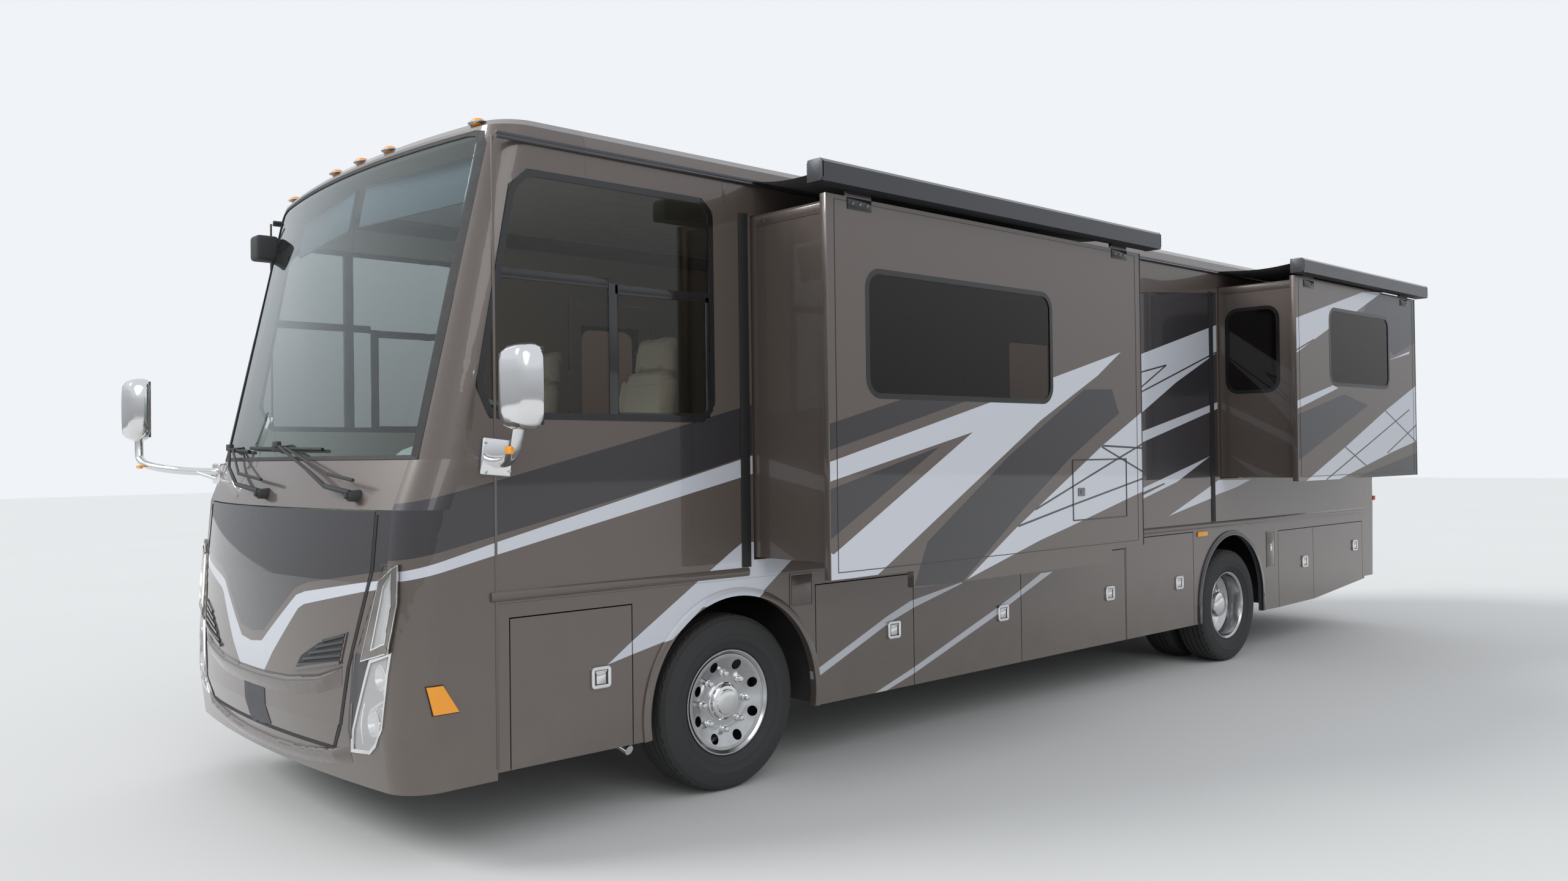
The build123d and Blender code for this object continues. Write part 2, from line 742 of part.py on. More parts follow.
with BuildPart() as rear_axle:
    with Locations((rear_axle_x, 0, tyre_radius)):
        Cylinder(62, 2 * (rear_rim_y - flange_half - 60 - run_gap), rotation=(90, 0, 0))
        Sphere(190)
    springs(rear_axle_x, 480, 530)
rear_axle.part.label = "rear_axle"
export_step(rear_axle.part, "parts/rear_axle.step")

# Dashboard, steering wheel and the two cab seats
with BuildPart() as dashboard:
    side_prism(
        (
            (-1430, deck_top + seam), (-1430, 1600), (-1300, 1620), (-1150, 1640),
            (-1020, 1600), (-1000, 1500), (-1130, 1440), (-1180, deck_top + seam),
        ),
        (-1120, 1120),
    )
dashboard.part.label = "dashboard"
export_step(dashboard.part, "parts/dashboard.step")

cab_seat_y = 560
wheel_tilt = 55
wheel_radius = 225
wheel_grip = 27
wheel_hub = (front_axle_x + 800, cab_seat_y, 1790)
wheel_face = (-cos(radians(wheel_tilt)), 0, sin(radians(wheel_tilt)))
column_way = (cos(radians(wheel_tilt)), 0, -sin(radians(wheel_tilt)))
with BuildPart() as steering_wheel:
    with BuildSketch(Plane(origin=wheel_hub, x_dir=(0, 1, 0), z_dir=wheel_face)):
        Circle(wheel_radius)
        Circle(wheel_radius - wheel_grip, mode=Mode.SUBTRACT)
        Rectangle(2 * wheel_radius - wheel_grip, 40)
        Rectangle(40, 2 * wheel_radius - wheel_grip)
        Circle(70)
    extrude(amount=24)
    with BuildSketch(Plane(origin=wheel_hub, x_dir=(0, 1, 0), z_dir=column_way)):
        Circle(32)
    extrude(amount=380)
    add(dashboard.part, mode=Mode.SUBTRACT)
steering_wheel.part.label = "steering_wheel"
export_step(steering_wheel.part, "parts/steering_wheel.step")

with BuildPart() as seats:
    for y in (cab_seat_y, -cab_seat_y):
        block((front_axle_x + 20, front_axle_x + 420), (y - 120, y + 120), (deck_top + seam, 1400))
        block((front_axle_x - 60, front_axle_x + 470), (y - 260, y + 260), (1400, 1560))
        side_prism(((60, 1500), (-60, 1500), (20, 2130), (110, 2130)), (y - 240, y + 240))
        block((front_axle_x - 110, front_axle_x - 30), (y - 130, y + 130), (2110, 2330))
seats.part.label = "seats"
export_step(seats.part, "parts/seats.step")

# Mirrors: side, arm foot, head middle
mirror_rows = (
    (1, (1316, 1257, 1653), (1380, 1540, 1940)),
    (-1, (1580, -1180, 1600), (1930, -1620, 1950)),
)
with BuildPart() as mirrors:
    for side, foot, head in mirror_rows:
        foot_x = front_axle_x + foot[0]
        head_x = front_axle_x + head[0]
        block((foot_x - 50, foot_x + 50), (foot[1], foot[1] + side * 25), (foot[2] - 70, foot[2] + 70))
        block((foot_x - 25, foot_x + 25), (foot[1], head[1] + side * 25), (foot[2] - 25, foot[2] + 25))
        block((foot_x - 25, head_x + 25), (head[1] - 25, head[1] + 25), (foot[2] - 25, foot[2] + 25))
        block((head_x - 60, head_x + 60), (head[1] - 100, head[1] + 100), (head[2] - 190, head[2] + 190))
        block((head_x - 25, head_x + 25), (head[1] - 25, head[1] + 25), (foot[2] - 25, head[2]))
    add(nose_outer.part, mode=Mode.SUBTRACT)
mirrors.part.label = "mirrors"
export_step(mirrors.part, "parts/mirrors.step")

# Wipers: their pivots by Y, on a line that bows with the nose, and the arms above them
pivot_rows = (620, -300)
pivot_ahead = 1795
pivot_bow = 9000
pivot_z = 1552
pivot_radius = 22
arm_half = 12
arm_head = 1700
with BuildPart() as wipers:
    for pivot_y in pivot_rows:
        x = front_axle_x + pivot_ahead - pivot_y * pivot_y / pivot_bow
        with Locations((x, pivot_y, pivot_z)):
            Cylinder(pivot_radius, 70, rotation=(0, 90, 0))
        block((x + 15, x + 30), (pivot_y - arm_half, pivot_y + arm_half), (pivot_z, arm_head))
    add(nose_outer.part, mode=Mode.SUBTRACT)
wipers.part.label = "wipers"
export_step(wipers.part, "parts/wipers.step")

# Roof marker lamps: Y and length ahead of the axle
marker_rows = ((1036, 1291), (307, 1366), (0, 1371), (-307, 1366), (-1036, 1291))
with BuildPart() as marker_lamps:
    for y, ahead in marker_rows:
        with Locations((front_axle_x + ahead - 30, y, roof_top - 8)):
            Box(90, 60, 40)
    add(nose_outer.part, mode=Mode.SUBTRACT)
marker_lamps.part.label = "marker_lamps"
export_step(marker_lamps.part, "parts/marker_lamps.step")

# Roof units: station, Y, length, width and height
roof_rows = (
    (600, 0, 1000, 720, 260), (5600, 0, 1000, 720, 260),
    (2600, 0, 460, 460, 110), (4000, 300, 460, 460, 110),
)
shroud_slope = 70
with BuildPart() as roof_units:
    for station, y, long, wide, tall in roof_rows:
        with BuildSketch(Plane.XY.offset(roof_top + seam)) as foot:
            with Locations((at(station), y)):
                RectangleRounded(long, wide, shroud_slope)
        extrude(foot.sketch, amount=tall, taper=14)
roof_units.part.label = "roof_units"
export_step(roof_units.part, "parts/roof_units.step")

# Patio awning case on the kerb side
patio_front = -900
patio_rear = 2040
patio_out = 120
patio_foot = 2890
patio_head = 3010
with BuildPart() as patio_awning:
    block(
        (at(patio_rear), at(patio_front)), (-half_width - seam, -half_width - patio_out),
        (patio_foot, patio_head),
    )
patio_awning.part.label = "patio_awning"
export_step(patio_awning.part, "parts/patio_awning.step")
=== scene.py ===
"""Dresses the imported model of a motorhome: paint and stripes, glass, lamps, wheels and fittings."""
import logging
import math
from collections.abc import Callable, Iterable, Sequence
from dataclasses import dataclass
from enum import Enum

import bmesh
import bpy
from mathutils import Matrix, Vector
from mathutils.bvhtree import BVHTree
from mathutils.geometry import tessellate_polygon


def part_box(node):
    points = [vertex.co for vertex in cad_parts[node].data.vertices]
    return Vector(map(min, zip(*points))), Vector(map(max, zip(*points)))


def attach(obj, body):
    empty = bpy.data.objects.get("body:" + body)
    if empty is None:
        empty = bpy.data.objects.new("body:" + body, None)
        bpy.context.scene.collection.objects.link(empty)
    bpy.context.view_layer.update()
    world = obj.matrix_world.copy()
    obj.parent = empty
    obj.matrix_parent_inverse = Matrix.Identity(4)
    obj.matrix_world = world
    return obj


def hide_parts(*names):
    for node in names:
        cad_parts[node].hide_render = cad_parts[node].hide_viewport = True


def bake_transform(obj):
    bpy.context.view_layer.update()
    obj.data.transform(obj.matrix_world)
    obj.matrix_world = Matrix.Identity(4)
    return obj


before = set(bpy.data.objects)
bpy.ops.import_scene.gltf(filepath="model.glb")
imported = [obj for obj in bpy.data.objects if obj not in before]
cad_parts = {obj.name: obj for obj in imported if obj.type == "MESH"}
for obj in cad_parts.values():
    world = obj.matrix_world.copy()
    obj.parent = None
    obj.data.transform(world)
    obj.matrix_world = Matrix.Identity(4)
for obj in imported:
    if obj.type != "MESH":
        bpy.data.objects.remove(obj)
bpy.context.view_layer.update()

log = logging.getLogger("motorhome")

Point2 = tuple[float, float]
Point3 = tuple[float, float, float]
Colour = tuple[float, float, float, float]
Node = bpy.types.Node
Socket = bpy.types.NodeSocket
Sockets = bpy.types.bpy_prop_collection

SIDES = (1, -1)
SIDE_NAMES = {1: "left", -1: "right"}
SIDE_Y = 1.257
FRONT_AXLE_X = 3.0
REAR_AXLE_X = -2.09
AXLE_Z = 0.433
RAIL_Z = 3.026
ROOF_Z = 3.149


def srgb(red: int, green: int, blue: int) -> Colour:
    """Turns a screen colour into the linear one that a socket takes.

    Args:
        red: the red part, from 0 to 255.
        green: the green part.
        blue: the blue part.

    Returns:
        The linear colour, opaque.
    """
    parts = []
    for value in (red, green, blue):
        share = value / 255
        parts.append(share / 12.92 if share <= 0.04045 else ((share + 0.055) / 1.055) ** 2.4)
    return (parts[0], parts[1], parts[2], 1.0)


def shaded(colour: Colour, factor: float, add: float = 0.0) -> Colour:
    """Returns a colour made darker or lighter."""
    return tuple(min(1.0, factor * part + add) for part in colour[:3]) + (1.0,)


class Wiring:
    """Adds and links the nodes of one tree."""

    def __init__(self, tree: bpy.types.NodeTree) -> None:
        """Takes the tree that the nodes go into."""
        self.tree = tree

    def feed(self, node: Node, inputs: dict) -> Node:
        """Gives a node its inputs.

        Args:
            node: the node.
            inputs: a socket or a plain value for each input, by name or number.

        Returns:
            The node itself.
        """
        for key, value in inputs.items():
            if isinstance(value, Socket):
                self.tree.links.new(value, node.inputs[key])
            else:
                node.inputs[key].default_value = value
        return node

    def add(self, kind: str, inputs: dict | None = None, **settings: object) -> Node:
        """Adds one node and feeds it.

        Args:
            kind: the node's type name.
            inputs: a socket or a plain value for each input, by name or number.
            settings: the node's own properties.

        Returns:
            The new node.
        """
        node = self.tree.nodes.new(kind)
        for name, value in settings.items():
            setattr(node, name, value)
        return self.feed(node, inputs or {})

    def math(self, operation: str, *values: object) -> Socket:
        """Returns the result of a Math node on sockets or numbers."""
        return self.add("ShaderNodeMath", dict(enumerate(values)), operation=operation).outputs[0]

    def dot(self, first: object, second: object) -> Socket:
        """Returns the dot product of two vectors."""
        return self.add("ShaderNodeVectorMath", {0: first, 1: second}, operation="DOT_PRODUCT").outputs["Value"]

    def mix(self, factor: object, first: object, second: object) -> Socket:
        """Returns a blend of two colours."""
        return self.add("ShaderNodeMix", {0: factor, 6: first, 7: second}, data_type="RGBA").outputs[2]

    def noise(self, place: Socket, scale: object, detail: float) -> Socket:
        """Returns a noise over the surface."""
        return self.add("ShaderNodeTexNoise", {"Vector": place, "Scale": scale, "Detail": detail}).outputs[0]

    def bump(self, strength: float, distance: float, height: Socket) -> Socket:
        """Returns the normal that a height gives the surface."""
        return self.add("ShaderNodeBump", {"Strength": strength, "Distance": distance, "Height": height}).outputs[0]

    def place(self) -> Socket:
        """Returns the place on the piece."""
        return self.add("ShaderNodeTexCoord").outputs["Object"]

    def part(self, vector: Socket, axis: str) -> Socket:
        """Returns one part of a vector."""
        return self.add("ShaderNodeSeparateXYZ", {0: vector}).outputs[axis]

    def effect(self, effect: "Effect", **inputs: object) -> Sockets:
        """Places a shared effect with this material's own values and returns its outputs."""
        named = {name.replace("_", " "): value for name, value in inputs.items()}
        return self.add("ShaderNodeGroup", named, node_tree=effect.tree()).outputs


@dataclass(frozen=True)
class Effect:
    """A node group that several finishes share."""

    name: str
    vectors: tuple[str, ...]
    numbers: tuple[str, ...]
    gives: tuple[str, ...]
    wire: Callable[[Wiring, Sockets], dict[str, Socket]]

    def tree(self) -> bpy.types.NodeTree:
        """Builds the group the first time and returns it.

        Returns:
            The group.
        """
        group = bpy.data.node_groups.get(self.name)
        if group is None:
            group = bpy.data.node_groups.new(self.name, "ShaderNodeTree")
            rows = ((self.vectors, "INPUT", "NodeSocketVector"), (self.numbers, "INPUT", "NodeSocketFloat"),
                    (self.gives, "OUTPUT", "NodeSocketFloat"))
            for names, way, kind in rows:
                for name in names:
                    group.interface.new_socket(name=name, in_out=way, socket_type=kind)
            w = Wiring(group)
            given = w.add("NodeGroupInput").outputs
            w.add("NodeGroupOutput", self.wire(w, given))
        return group


def wire_grain(w: Wiring, given: Sockets) -> dict[str, Socket]:
    """Wires two sizes of noise into a grain height and a slow change of tone.

    Args:
        w: the group's wiring.
        given: the group's inputs.

    Returns:
        The group's outputs.
    """
    place, scale = given["Position"], given["Scale"]
    return {"Height": w.noise(place, scale, 4.0), "Tone": w.noise(place, w.math("MULTIPLY", scale, 0.03), 3.0)}


def wire_dust(w: Wiring, given: Sockets) -> dict[str, Socket]:
    """Wires road dust that is thickest near the ground and broken up by noise.

    Args:
        w: the group's wiring.
        given: the group's inputs.

    Returns:
        The group's outputs.
    """
    low = w.math("DIVIDE", w.part(given["Position"], "Z"), given["Reach"])
    broken = w.math("MULTIPLY", w.math("SUBTRACT", 1.0, low), w.noise(given["Position"], 6.0, 6.0))
    mask = w.add("ShaderNodeClamp", {0: w.math("MULTIPLY", broken, given["Amount"])})
    return {"Mask": mask.outputs[0]}


def wire_patch(w: Wiring, given: Sockets) -> dict[str, Socket]:
    """Wires the inside of a convex patch with four straight edges.

    Args:
        w: the group's wiring.
        given: the group's inputs.

    Returns:
        The group's outputs.
    """
    inside = w.dot(given["Point"], given["Edge 1"])
    for number in (2, 3, 4):
        inside = w.math("MINIMUM", inside, w.dot(given["Point"], given[f"Edge {number}"]))
    return {"Mask": w.math("GREATER_THAN", inside, -0.0003)}


def wire_facing(w: Wiring, given: Sockets) -> dict[str, Socket]:
    """Wires a mask of the faces that look towards a room's middle.

    Args:
        w: the group's wiring.
        given: the group's inputs.

    Returns:
        The group's outputs.
    """
    away = w.add("ShaderNodeVectorMath", {0: given["Position"], 1: given["Middle"]}, operation="SUBTRACT")
    return {"Mask": w.math("LESS_THAN", w.dot(given["Normal"], away.outputs[0]), 0.0)}


def wire_weave(w: Wiring, given: Sockets) -> dict[str, Socket]:
    """Wires crossing threads.

    Args:
        w: the group's wiring.
        given: the group's inputs.

    Returns:
        The group's outputs.
    """
    waves = [w.math("SINE", w.math("MULTIPLY", w.part(given["Position"], axis), given["Threads"])) for axis in "XY"]
    return {"Height": w.math("ABSOLUTE", w.math("MULTIPLY", *waves))}


GRAIN = Effect("grain", ("Position",), ("Scale",), ("Height", "Tone"), wire_grain)
DUST = Effect("road_dust", ("Position",), ("Reach", "Amount"), ("Mask",), wire_dust)
PATCH = Effect("painted_patch", ("Point", "Edge 1", "Edge 2", "Edge 3", "Edge 4"), (), ("Mask",), wire_patch)
FACING = Effect("facing_in", ("Normal", "Position", "Middle"), (), ("Mask",), wire_facing)
WEAVE = Effect("weave", ("Position",), ("Threads",), ("Height",), wire_weave)

DUST_COLOUR = srgb(128, 120, 110)
BRONZE = srgb(97, 87, 81)
CABIN_WALL = srgb(196, 184, 164)
DOOR_LINER = srgb(70, 70, 72)
CASE_BLACK = srgb(24, 25, 29)


class Finish:
    """What a surface is made of. Each kind of finish gives its own material."""

    name: str
    slot: str

    def material(self) -> bpy.types.Material:
        """Builds the material the first time and returns it.

        Returns:
            The material.
        """
        material = bpy.data.materials.get(self.name)
        if material is None:
            material = bpy.data.materials.new(self.name)
            material.use_nodes = True
            material.node_tree.nodes.clear()
            w = Wiring(material.node_tree)
            shader = w.add("ShaderNodeBsdfPrincipled", self.inputs(w))
            w.add("ShaderNodeOutputMaterial", {"Surface": self.surface(w, shader)})
        return material

    def inputs(self, w: Wiring) -> dict[str, object]:
        """Wires the finish and returns what the shader's sockets take."""
        raise NotImplementedError

    def surface(self, w: Wiring, shader: Node) -> Socket:
        """Returns the socket that goes to the output."""
        return shader.outputs[0]


@dataclass(frozen=True)
class Plain(Finish):
    """A grained finish: plastic, rubber, cast or painted metal, leather."""

    name: str
    slot: str
    colour: Colour
    worn: Colour
    roughness: float = 0.5
    metallic: float = 0.0
    grain: float = 400.0
    strength: float = 0.08
    depth: float = 0.0006
    dust: float = 0.0
    reach: float = 1.2
    coat: float = 0.0
    cells: bool = False

    def inputs(self, w: Wiring) -> dict[str, object]:
        """Wires tone, grain, uneven gloss and dust.

        Args:
            w: the material's wiring.

        Returns:
            What the shader's sockets take.
        """
        place = w.place()
        grain = w.effect(GRAIN, Position=place, Scale=self.grain)
        colour = w.mix(w.math("MULTIPLY", grain["Tone"], 0.8), self.colour, self.worn)
        height = grain["Height"]
        if self.cells:
            cells = w.add("ShaderNodeTexVoronoi", {"Vector": place, "Scale": self.grain * 1.6})
            height = w.math("MULTIPLY_ADD", cells.outputs["Distance"], 0.7, height)
        if self.dust:
            dust = w.effect(DUST, Position=place, Reach=self.reach, Amount=self.dust)
            colour = w.mix(dust["Mask"], colour, DUST_COLOUR)
        return {
            "Base Color": colour, "Roughness": w.math("MULTIPLY_ADD", grain["Tone"], 0.16, self.roughness - 0.08),
            "Normal": w.bump(self.strength, self.depth, height), "Metallic": self.metallic,
            "Coat Weight": self.coat, "Coat Roughness": 0.06,
        }


@dataclass(frozen=True)
class Glass(Finish):
    """A tinted pane that lets light through to the room behind it."""

    name: str
    tint: Colour
    slot: str = "lamp_glass"

    def inputs(self, w: Wiring) -> dict[str, object]:
        """Wires a clear tinted pane.

        Args:
            w: the material's wiring.

        Returns:
            What the shader's sockets take.
        """
        haze = w.effect(GRAIN, Position=w.place(), Scale=40.0)
        colour = w.mix(w.math("MULTIPLY", haze["Tone"], 0.03), self.tint, DUST_COLOUR)
        return {"Base Color": colour, "Roughness": 0.0, "Transmission Weight": 1.0, "IOR": 1.45}

    def surface(self, w: Wiring, shader: Node) -> Socket:
        """Keeps the pane's shadow light.

        Args:
            w: the material's wiring.
            shader: the pane's shader.

        Returns:
            The socket that goes to the output.
        """
        through = w.add("ShaderNodeBsdfTransparent", {"Color": self.tint})
        shadow = w.add("ShaderNodeLightPath").outputs["Is Shadow Ray"]
        return w.add("ShaderNodeMixShader", {0: shadow, 1: shader.outputs[0], 2: through.outputs[0]}).outputs[0]


@dataclass(frozen=True)
class Lens(Finish):
    """A coloured lamp lens with moulded flutes."""

    name: str
    slot: str
    colour: Colour
    flutes: float = 120.0

    def inputs(self, w: Wiring) -> dict[str, object]:
        """Wires fluted plastic with a clear coat, its colour darker in each flute's trough as painted shade.

        Args:
            w: the material's wiring.

        Returns:
            What the shader's sockets take.
        """
        wave = w.add("ShaderNodeTexWave", {"Vector": w.place(), "Scale": self.flutes}, bands_direction="Z").outputs[1]
        return {
            # the lens colour drops to 45 per cent in each flute's trough: painted shade of the flutes
            "Base Color": w.mix(wave, shaded(self.colour, 0.45), self.colour), "Normal": w.bump(0.3, 0.001, wave),
            "Roughness": 0.15, "Coat Weight": 1.0,
        }


@dataclass(frozen=True)
class Cloth(Finish):
    """Woven awning cloth."""

    name: str
    colour: Colour
    slot: str = "dark_paint"

    def inputs(self, w: Wiring) -> dict[str, object]:
        """Wires threads that are lighter where they stand highest as a painted highlight, a slow change of tone and a
        soft sheen.

        Args:
            w: the material's wiring.

        Returns:
            What the shader's sockets take.
        """
        place = w.place()
        weave = w.effect(WEAVE, Position=place, Threads=2200.0)["Height"]
        tone = w.effect(GRAIN, Position=place, Scale=60.0)["Tone"]
        return {
            # the threads turn lighter where the weave stands highest, scaled by the slow tone: a painted highlight on
            # the thread crowns
            "Base Color": w.mix(w.math("MULTIPLY", weave, tone), self.colour, shaded(self.colour, 1.6, 0.01)),
            "Normal": w.bump(0.4, 0.0005, weave), "Roughness": 0.85, "Sheen Weight": 0.15,
        }


@dataclass(frozen=True)
class FloorPlanks(Finish):
    """Wood-look floor planks of the living space."""

    name: str = "floor_planks"
    slot: str = "floor_vinyl"

    def inputs(self, w: Wiring) -> dict[str, object]:
        """Wires planks with grain and dark joints.

        Args:
            w: the material's wiring.

        Returns:
            What the shader's sockets take.
        """
        place = w.place()
        planks = w.add("ShaderNodeTexBrick", {
            "Vector": place, "Color1": srgb(128, 98, 70), "Color2": srgb(104, 78, 56), "Mortar": srgb(50, 38, 30),
            "Scale": 1.0, "Mortar Size": 0.002, "Brick Width": 1.2, "Row Height": 0.16,
        })
        stretched = w.add("ShaderNodeMapping", {"Vector": place, "Scale": (2.0, 40.0, 40.0)})
        fibre = w.noise(stretched.outputs[0], 2.0, 6.0)
        return {
            "Base Color": w.mix(w.math("MULTIPLY", fibre, 0.5), planks.outputs["Color"], srgb(80, 58, 40)),
            "Normal": w.bump(0.2, 0.0005, fibre), "Roughness": 0.4,
        }


@dataclass(frozen=True)
class RoofSheet(Finish):
    """Pale roof sheet whose rounded edges carry the bronze paint."""

    name: str = "roof_sheet"
    slot: str = "body_paint"
    edge_from: float = 1.085

    def inputs(self, w: Wiring) -> dict[str, object]:
        """Wires sheet, edges, grain and settled dust.

        Args:
            w: the material's wiring.

        Returns:
            What the shader's sockets take.
        """
        place = w.place()
        grain = w.effect(GRAIN, Position=place, Scale=300.0)
        edge = w.math("GREATER_THAN", w.math("ABSOLUTE", w.part(place, "Y")), self.edge_from)
        sheet = w.mix(grain["Tone"], srgb(214, 213, 208), srgb(188, 186, 178))
        rough = w.math("MULTIPLY_ADD", edge, -0.3, w.math("MULTIPLY_ADD", grain["Tone"], 0.2, 0.55))
        return {
            "Base Color": w.mix(edge, sheet, BRONZE), "Roughness": rough,
            "Normal": w.bump(0.1, 0.0006, grain["Height"]), "Coat Weight": edge, "Coat Roughness": 0.05,
        }


@dataclass(frozen=True)
class StageCloth(Finish):
    """The pale studio floor, matt with a faint change of tone."""

    name: str = "studio_floor"
    slot: str = ""

    def inputs(self, w: Wiring) -> dict[str, object]:
        """Wires the floor and returns what the shader's sockets take."""
        tone = w.effect(GRAIN, Position=w.place(), Scale=12.0)["Tone"]
        return {"Base Color": w.mix(tone, srgb(216, 216, 214), srgb(211, 211, 209)), "Roughness": 0.9}


class Tone(Enum):
    """The paints of the stripes, in the order in which they are laid on."""

    CHARCOAL = srgb(47, 45, 49)
    SILVER = srgb(205, 208, 216)
    LINE = srgb(62, 60, 64)


@dataclass(frozen=True)
class Stripe:
    """One flat patch of paint, by its corners along the vehicle and up."""

    tone: Tone
    corners: tuple[Point2, ...]

    def moved(self, along: float) -> "Stripe":
        """Returns the stripe moved along the vehicle."""
        return Stripe(self.tone, tuple((x + along, z) for x, z in self.corners))

    def meets(self, low: Point2, high: Point2) -> bool:
        """Tells whether the stripe's box meets the box between two corners.

        Args:
            low: the box's lower corner.
            high: its upper corner.

        Returns:
            Whether the two boxes meet.
        """
        xs = [x for x, _ in self.corners]
        zs = [z for _, z in self.corners]
        return max(xs) > low[0] and min(xs) < high[0] and max(zs) > low[1] and min(zs) < high[1]

    def patches(self) -> list[tuple[Point2, ...]]:
        """Splits the stripe into convex patches of three or four corners.

        Returns:
            The corners of each patch.
        """
        if len(self.corners) <= 4 and is_convex(self.corners):
            return [self.corners]
        flat = [Vector((x, z, 0.0)) for x, z in self.corners]
        return [tuple(self.corners[i] for i in three) for three in tessellate_polygon([flat])]


def turn(a: Point2, b: Point2, c: Point2) -> float:
    """Returns twice the signed area of a triangle."""
    return (b[0] - a[0]) * (c[1] - a[1]) - (b[1] - a[1]) * (c[0] - a[0])


def is_convex(corners: Sequence[Point2]) -> bool:
    """Tells whether every corner turns the same way.

    Args:
        corners: the corners, in order.

    Returns:
        Whether the outline is convex.
    """
    count = len(corners)
    turns = [turn(corners[i], corners[(i + 1) % count], corners[(i + 2) % count]) for i in range(count)]
    return all(t > 0 for t in turns) or all(t < 0 for t in turns)


def edge_vectors(corners: Sequence[Point2]) -> list[Point3]:
    """Returns each edge as a vector whose dot product with (x, z, 1) is above 0 inside.

    Args:
        corners: the corners, in order.

    Returns:
        Four vectors, the last one repeated where there are three edges.
    """
    count = len(corners)
    side = 1.0 if turn(*corners[:3]) > 0 else -1.0
    edges = []
    for i in range(count):
        (x0, z0), (x1, z1) = corners[i], corners[(i + 1) % count]
        nx, nz = -(z1 - z0) * side, (x1 - x0) * side
        size = math.hypot(nx, nz) or 1.0
        edges.append((nx / size, nz / size, -(nx * x0 + nz * z0) / size))
    while len(edges) < 4:
        edges.append(edges[-1])
    return edges


def line(start: Point2, end: Point2, width: float = 0.011) -> Stripe:
    """Returns a thin dark line between two points.

    Args:
        start: one end.
        end: the other end.
        width: how wide the line is.

    Returns:
        The line as a stripe.
    """
    dx, dz = end[0] - start[0], end[1] - start[1]
    size = math.hypot(dx, dz)
    nx, nz = -dz / size * width / 2, dx / size * width / 2
    corners = (
        (start[0] + nx, start[1] + nz), (end[0] + nx, end[1] + nz),
        (end[0] - nx, end[1] - nz), (start[0] - nx, start[1] - nz),
    )
    return Stripe(Tone.LINE, corners)


def mask_of(w: Wiring, stripes: Iterable[Stripe], point: Socket) -> Socket | None:
    """Joins the masks of several stripes.

    Args:
        w: the material's wiring.
        stripes: the stripes to join.
        point: the socket that holds (along, up, 1).

    Returns:
        The joined mask, or None where there is no stripe.
    """
    mask = None
    for stripe in stripes:
        for patch in stripe.patches():
            edges = {f"Edge {number}": edge for number, edge in enumerate(edge_vectors(patch), start=1)}
            part = w.effect(PATCH, Point=point, **edges)["Mask"]
            mask = part if mask is None else w.math("MAXIMUM", mask, part)
    return mask


@dataclass(frozen=True)
class BodyPaint(Finish):
    """Bronze body paint under clear coat, with the painted stripes of one panel."""

    name: str
    side_stripes: tuple[Stripe, ...] = ()
    nose_stripes: tuple[Stripe, ...] = ()
    middle: Point3 = (0.0, 0.0, 1.9)
    lining: Colour = CABIN_WALL
    face_only: bool = False
    nose_half_width: float = 1.10
    slot: str = "body_paint"

    def inputs(self, w: Wiring) -> dict[str, object]:
        """Wires base, stripes, flake, dust and the plain lining of the inner faces.

        Args:
            w: the material's wiring.

        Returns:
            What the shader's sockets take.
        """
        given = w.add("ShaderNodeTexCoord").outputs
        place, normal = given["Object"], given["Normal"]
        parts = w.add("ShaderNodeSeparateXYZ", {0: place}).outputs
        grain = w.effect(GRAIN, Position=place, Scale=900.0)
        colour = w.mix(grain["Tone"], shaded(BRONZE, 0.93), BRONZE)
        on_nose = w.math("LESS_THAN", w.math("ABSOLUTE", parts["Y"]), self.nose_half_width)
        shares = (w.math("SUBTRACT", 1.0, on_nose), on_nose)
        outward = w.math("GREATER_THAN", w.math("ABSOLUTE", w.part(normal, "Y")), 0.6)
        places = (parts["X"], w.math("ABSOLUTE", parts["Y"]))
        for stripes, along, share in zip((self.side_stripes, self.nose_stripes), places, shares):
            point = w.add("ShaderNodeCombineXYZ", {0: along, 1: parts["Z"], 2: 1.0}).outputs[0]
            for tone in Tone:
                mask = mask_of(w, (s for s in stripes if s.tone is tone), point)
                if mask is None:
                    continue
                if self.nose_stripes and self.side_stripes:
                    mask = w.math("MULTIPLY", mask, share)
                if self.face_only:
                    mask = w.math("MULTIPLY", mask, outward)
                colour = w.mix(mask, colour, tone.value)
        dust = w.effect(DUST, Position=place, Reach=1.1, Amount=0.5)
        inner = w.effect(FACING, Normal=normal, Position=place, Middle=self.middle)["Mask"]
        outer = w.math("SUBTRACT", 1.0, inner)
        gloss = w.math("MULTIPLY_ADD", grain["Tone"], 0.1, 0.32)
        return {
            "Base Color": w.mix(inner, w.mix(dust["Mask"], colour, DUST_COLOUR), self.lining),
            "Roughness": w.math("MULTIPLY_ADD", inner, 0.3, gloss), "Metallic": w.math("MULTIPLY", outer, 0.3),
            "Normal": w.bump(0.02, 0.0003, grain["Height"]), "Coat Weight": outer, "Coat Roughness": 0.03,
        }


S, C = Tone.SILVER, Tone.CHARCOAL

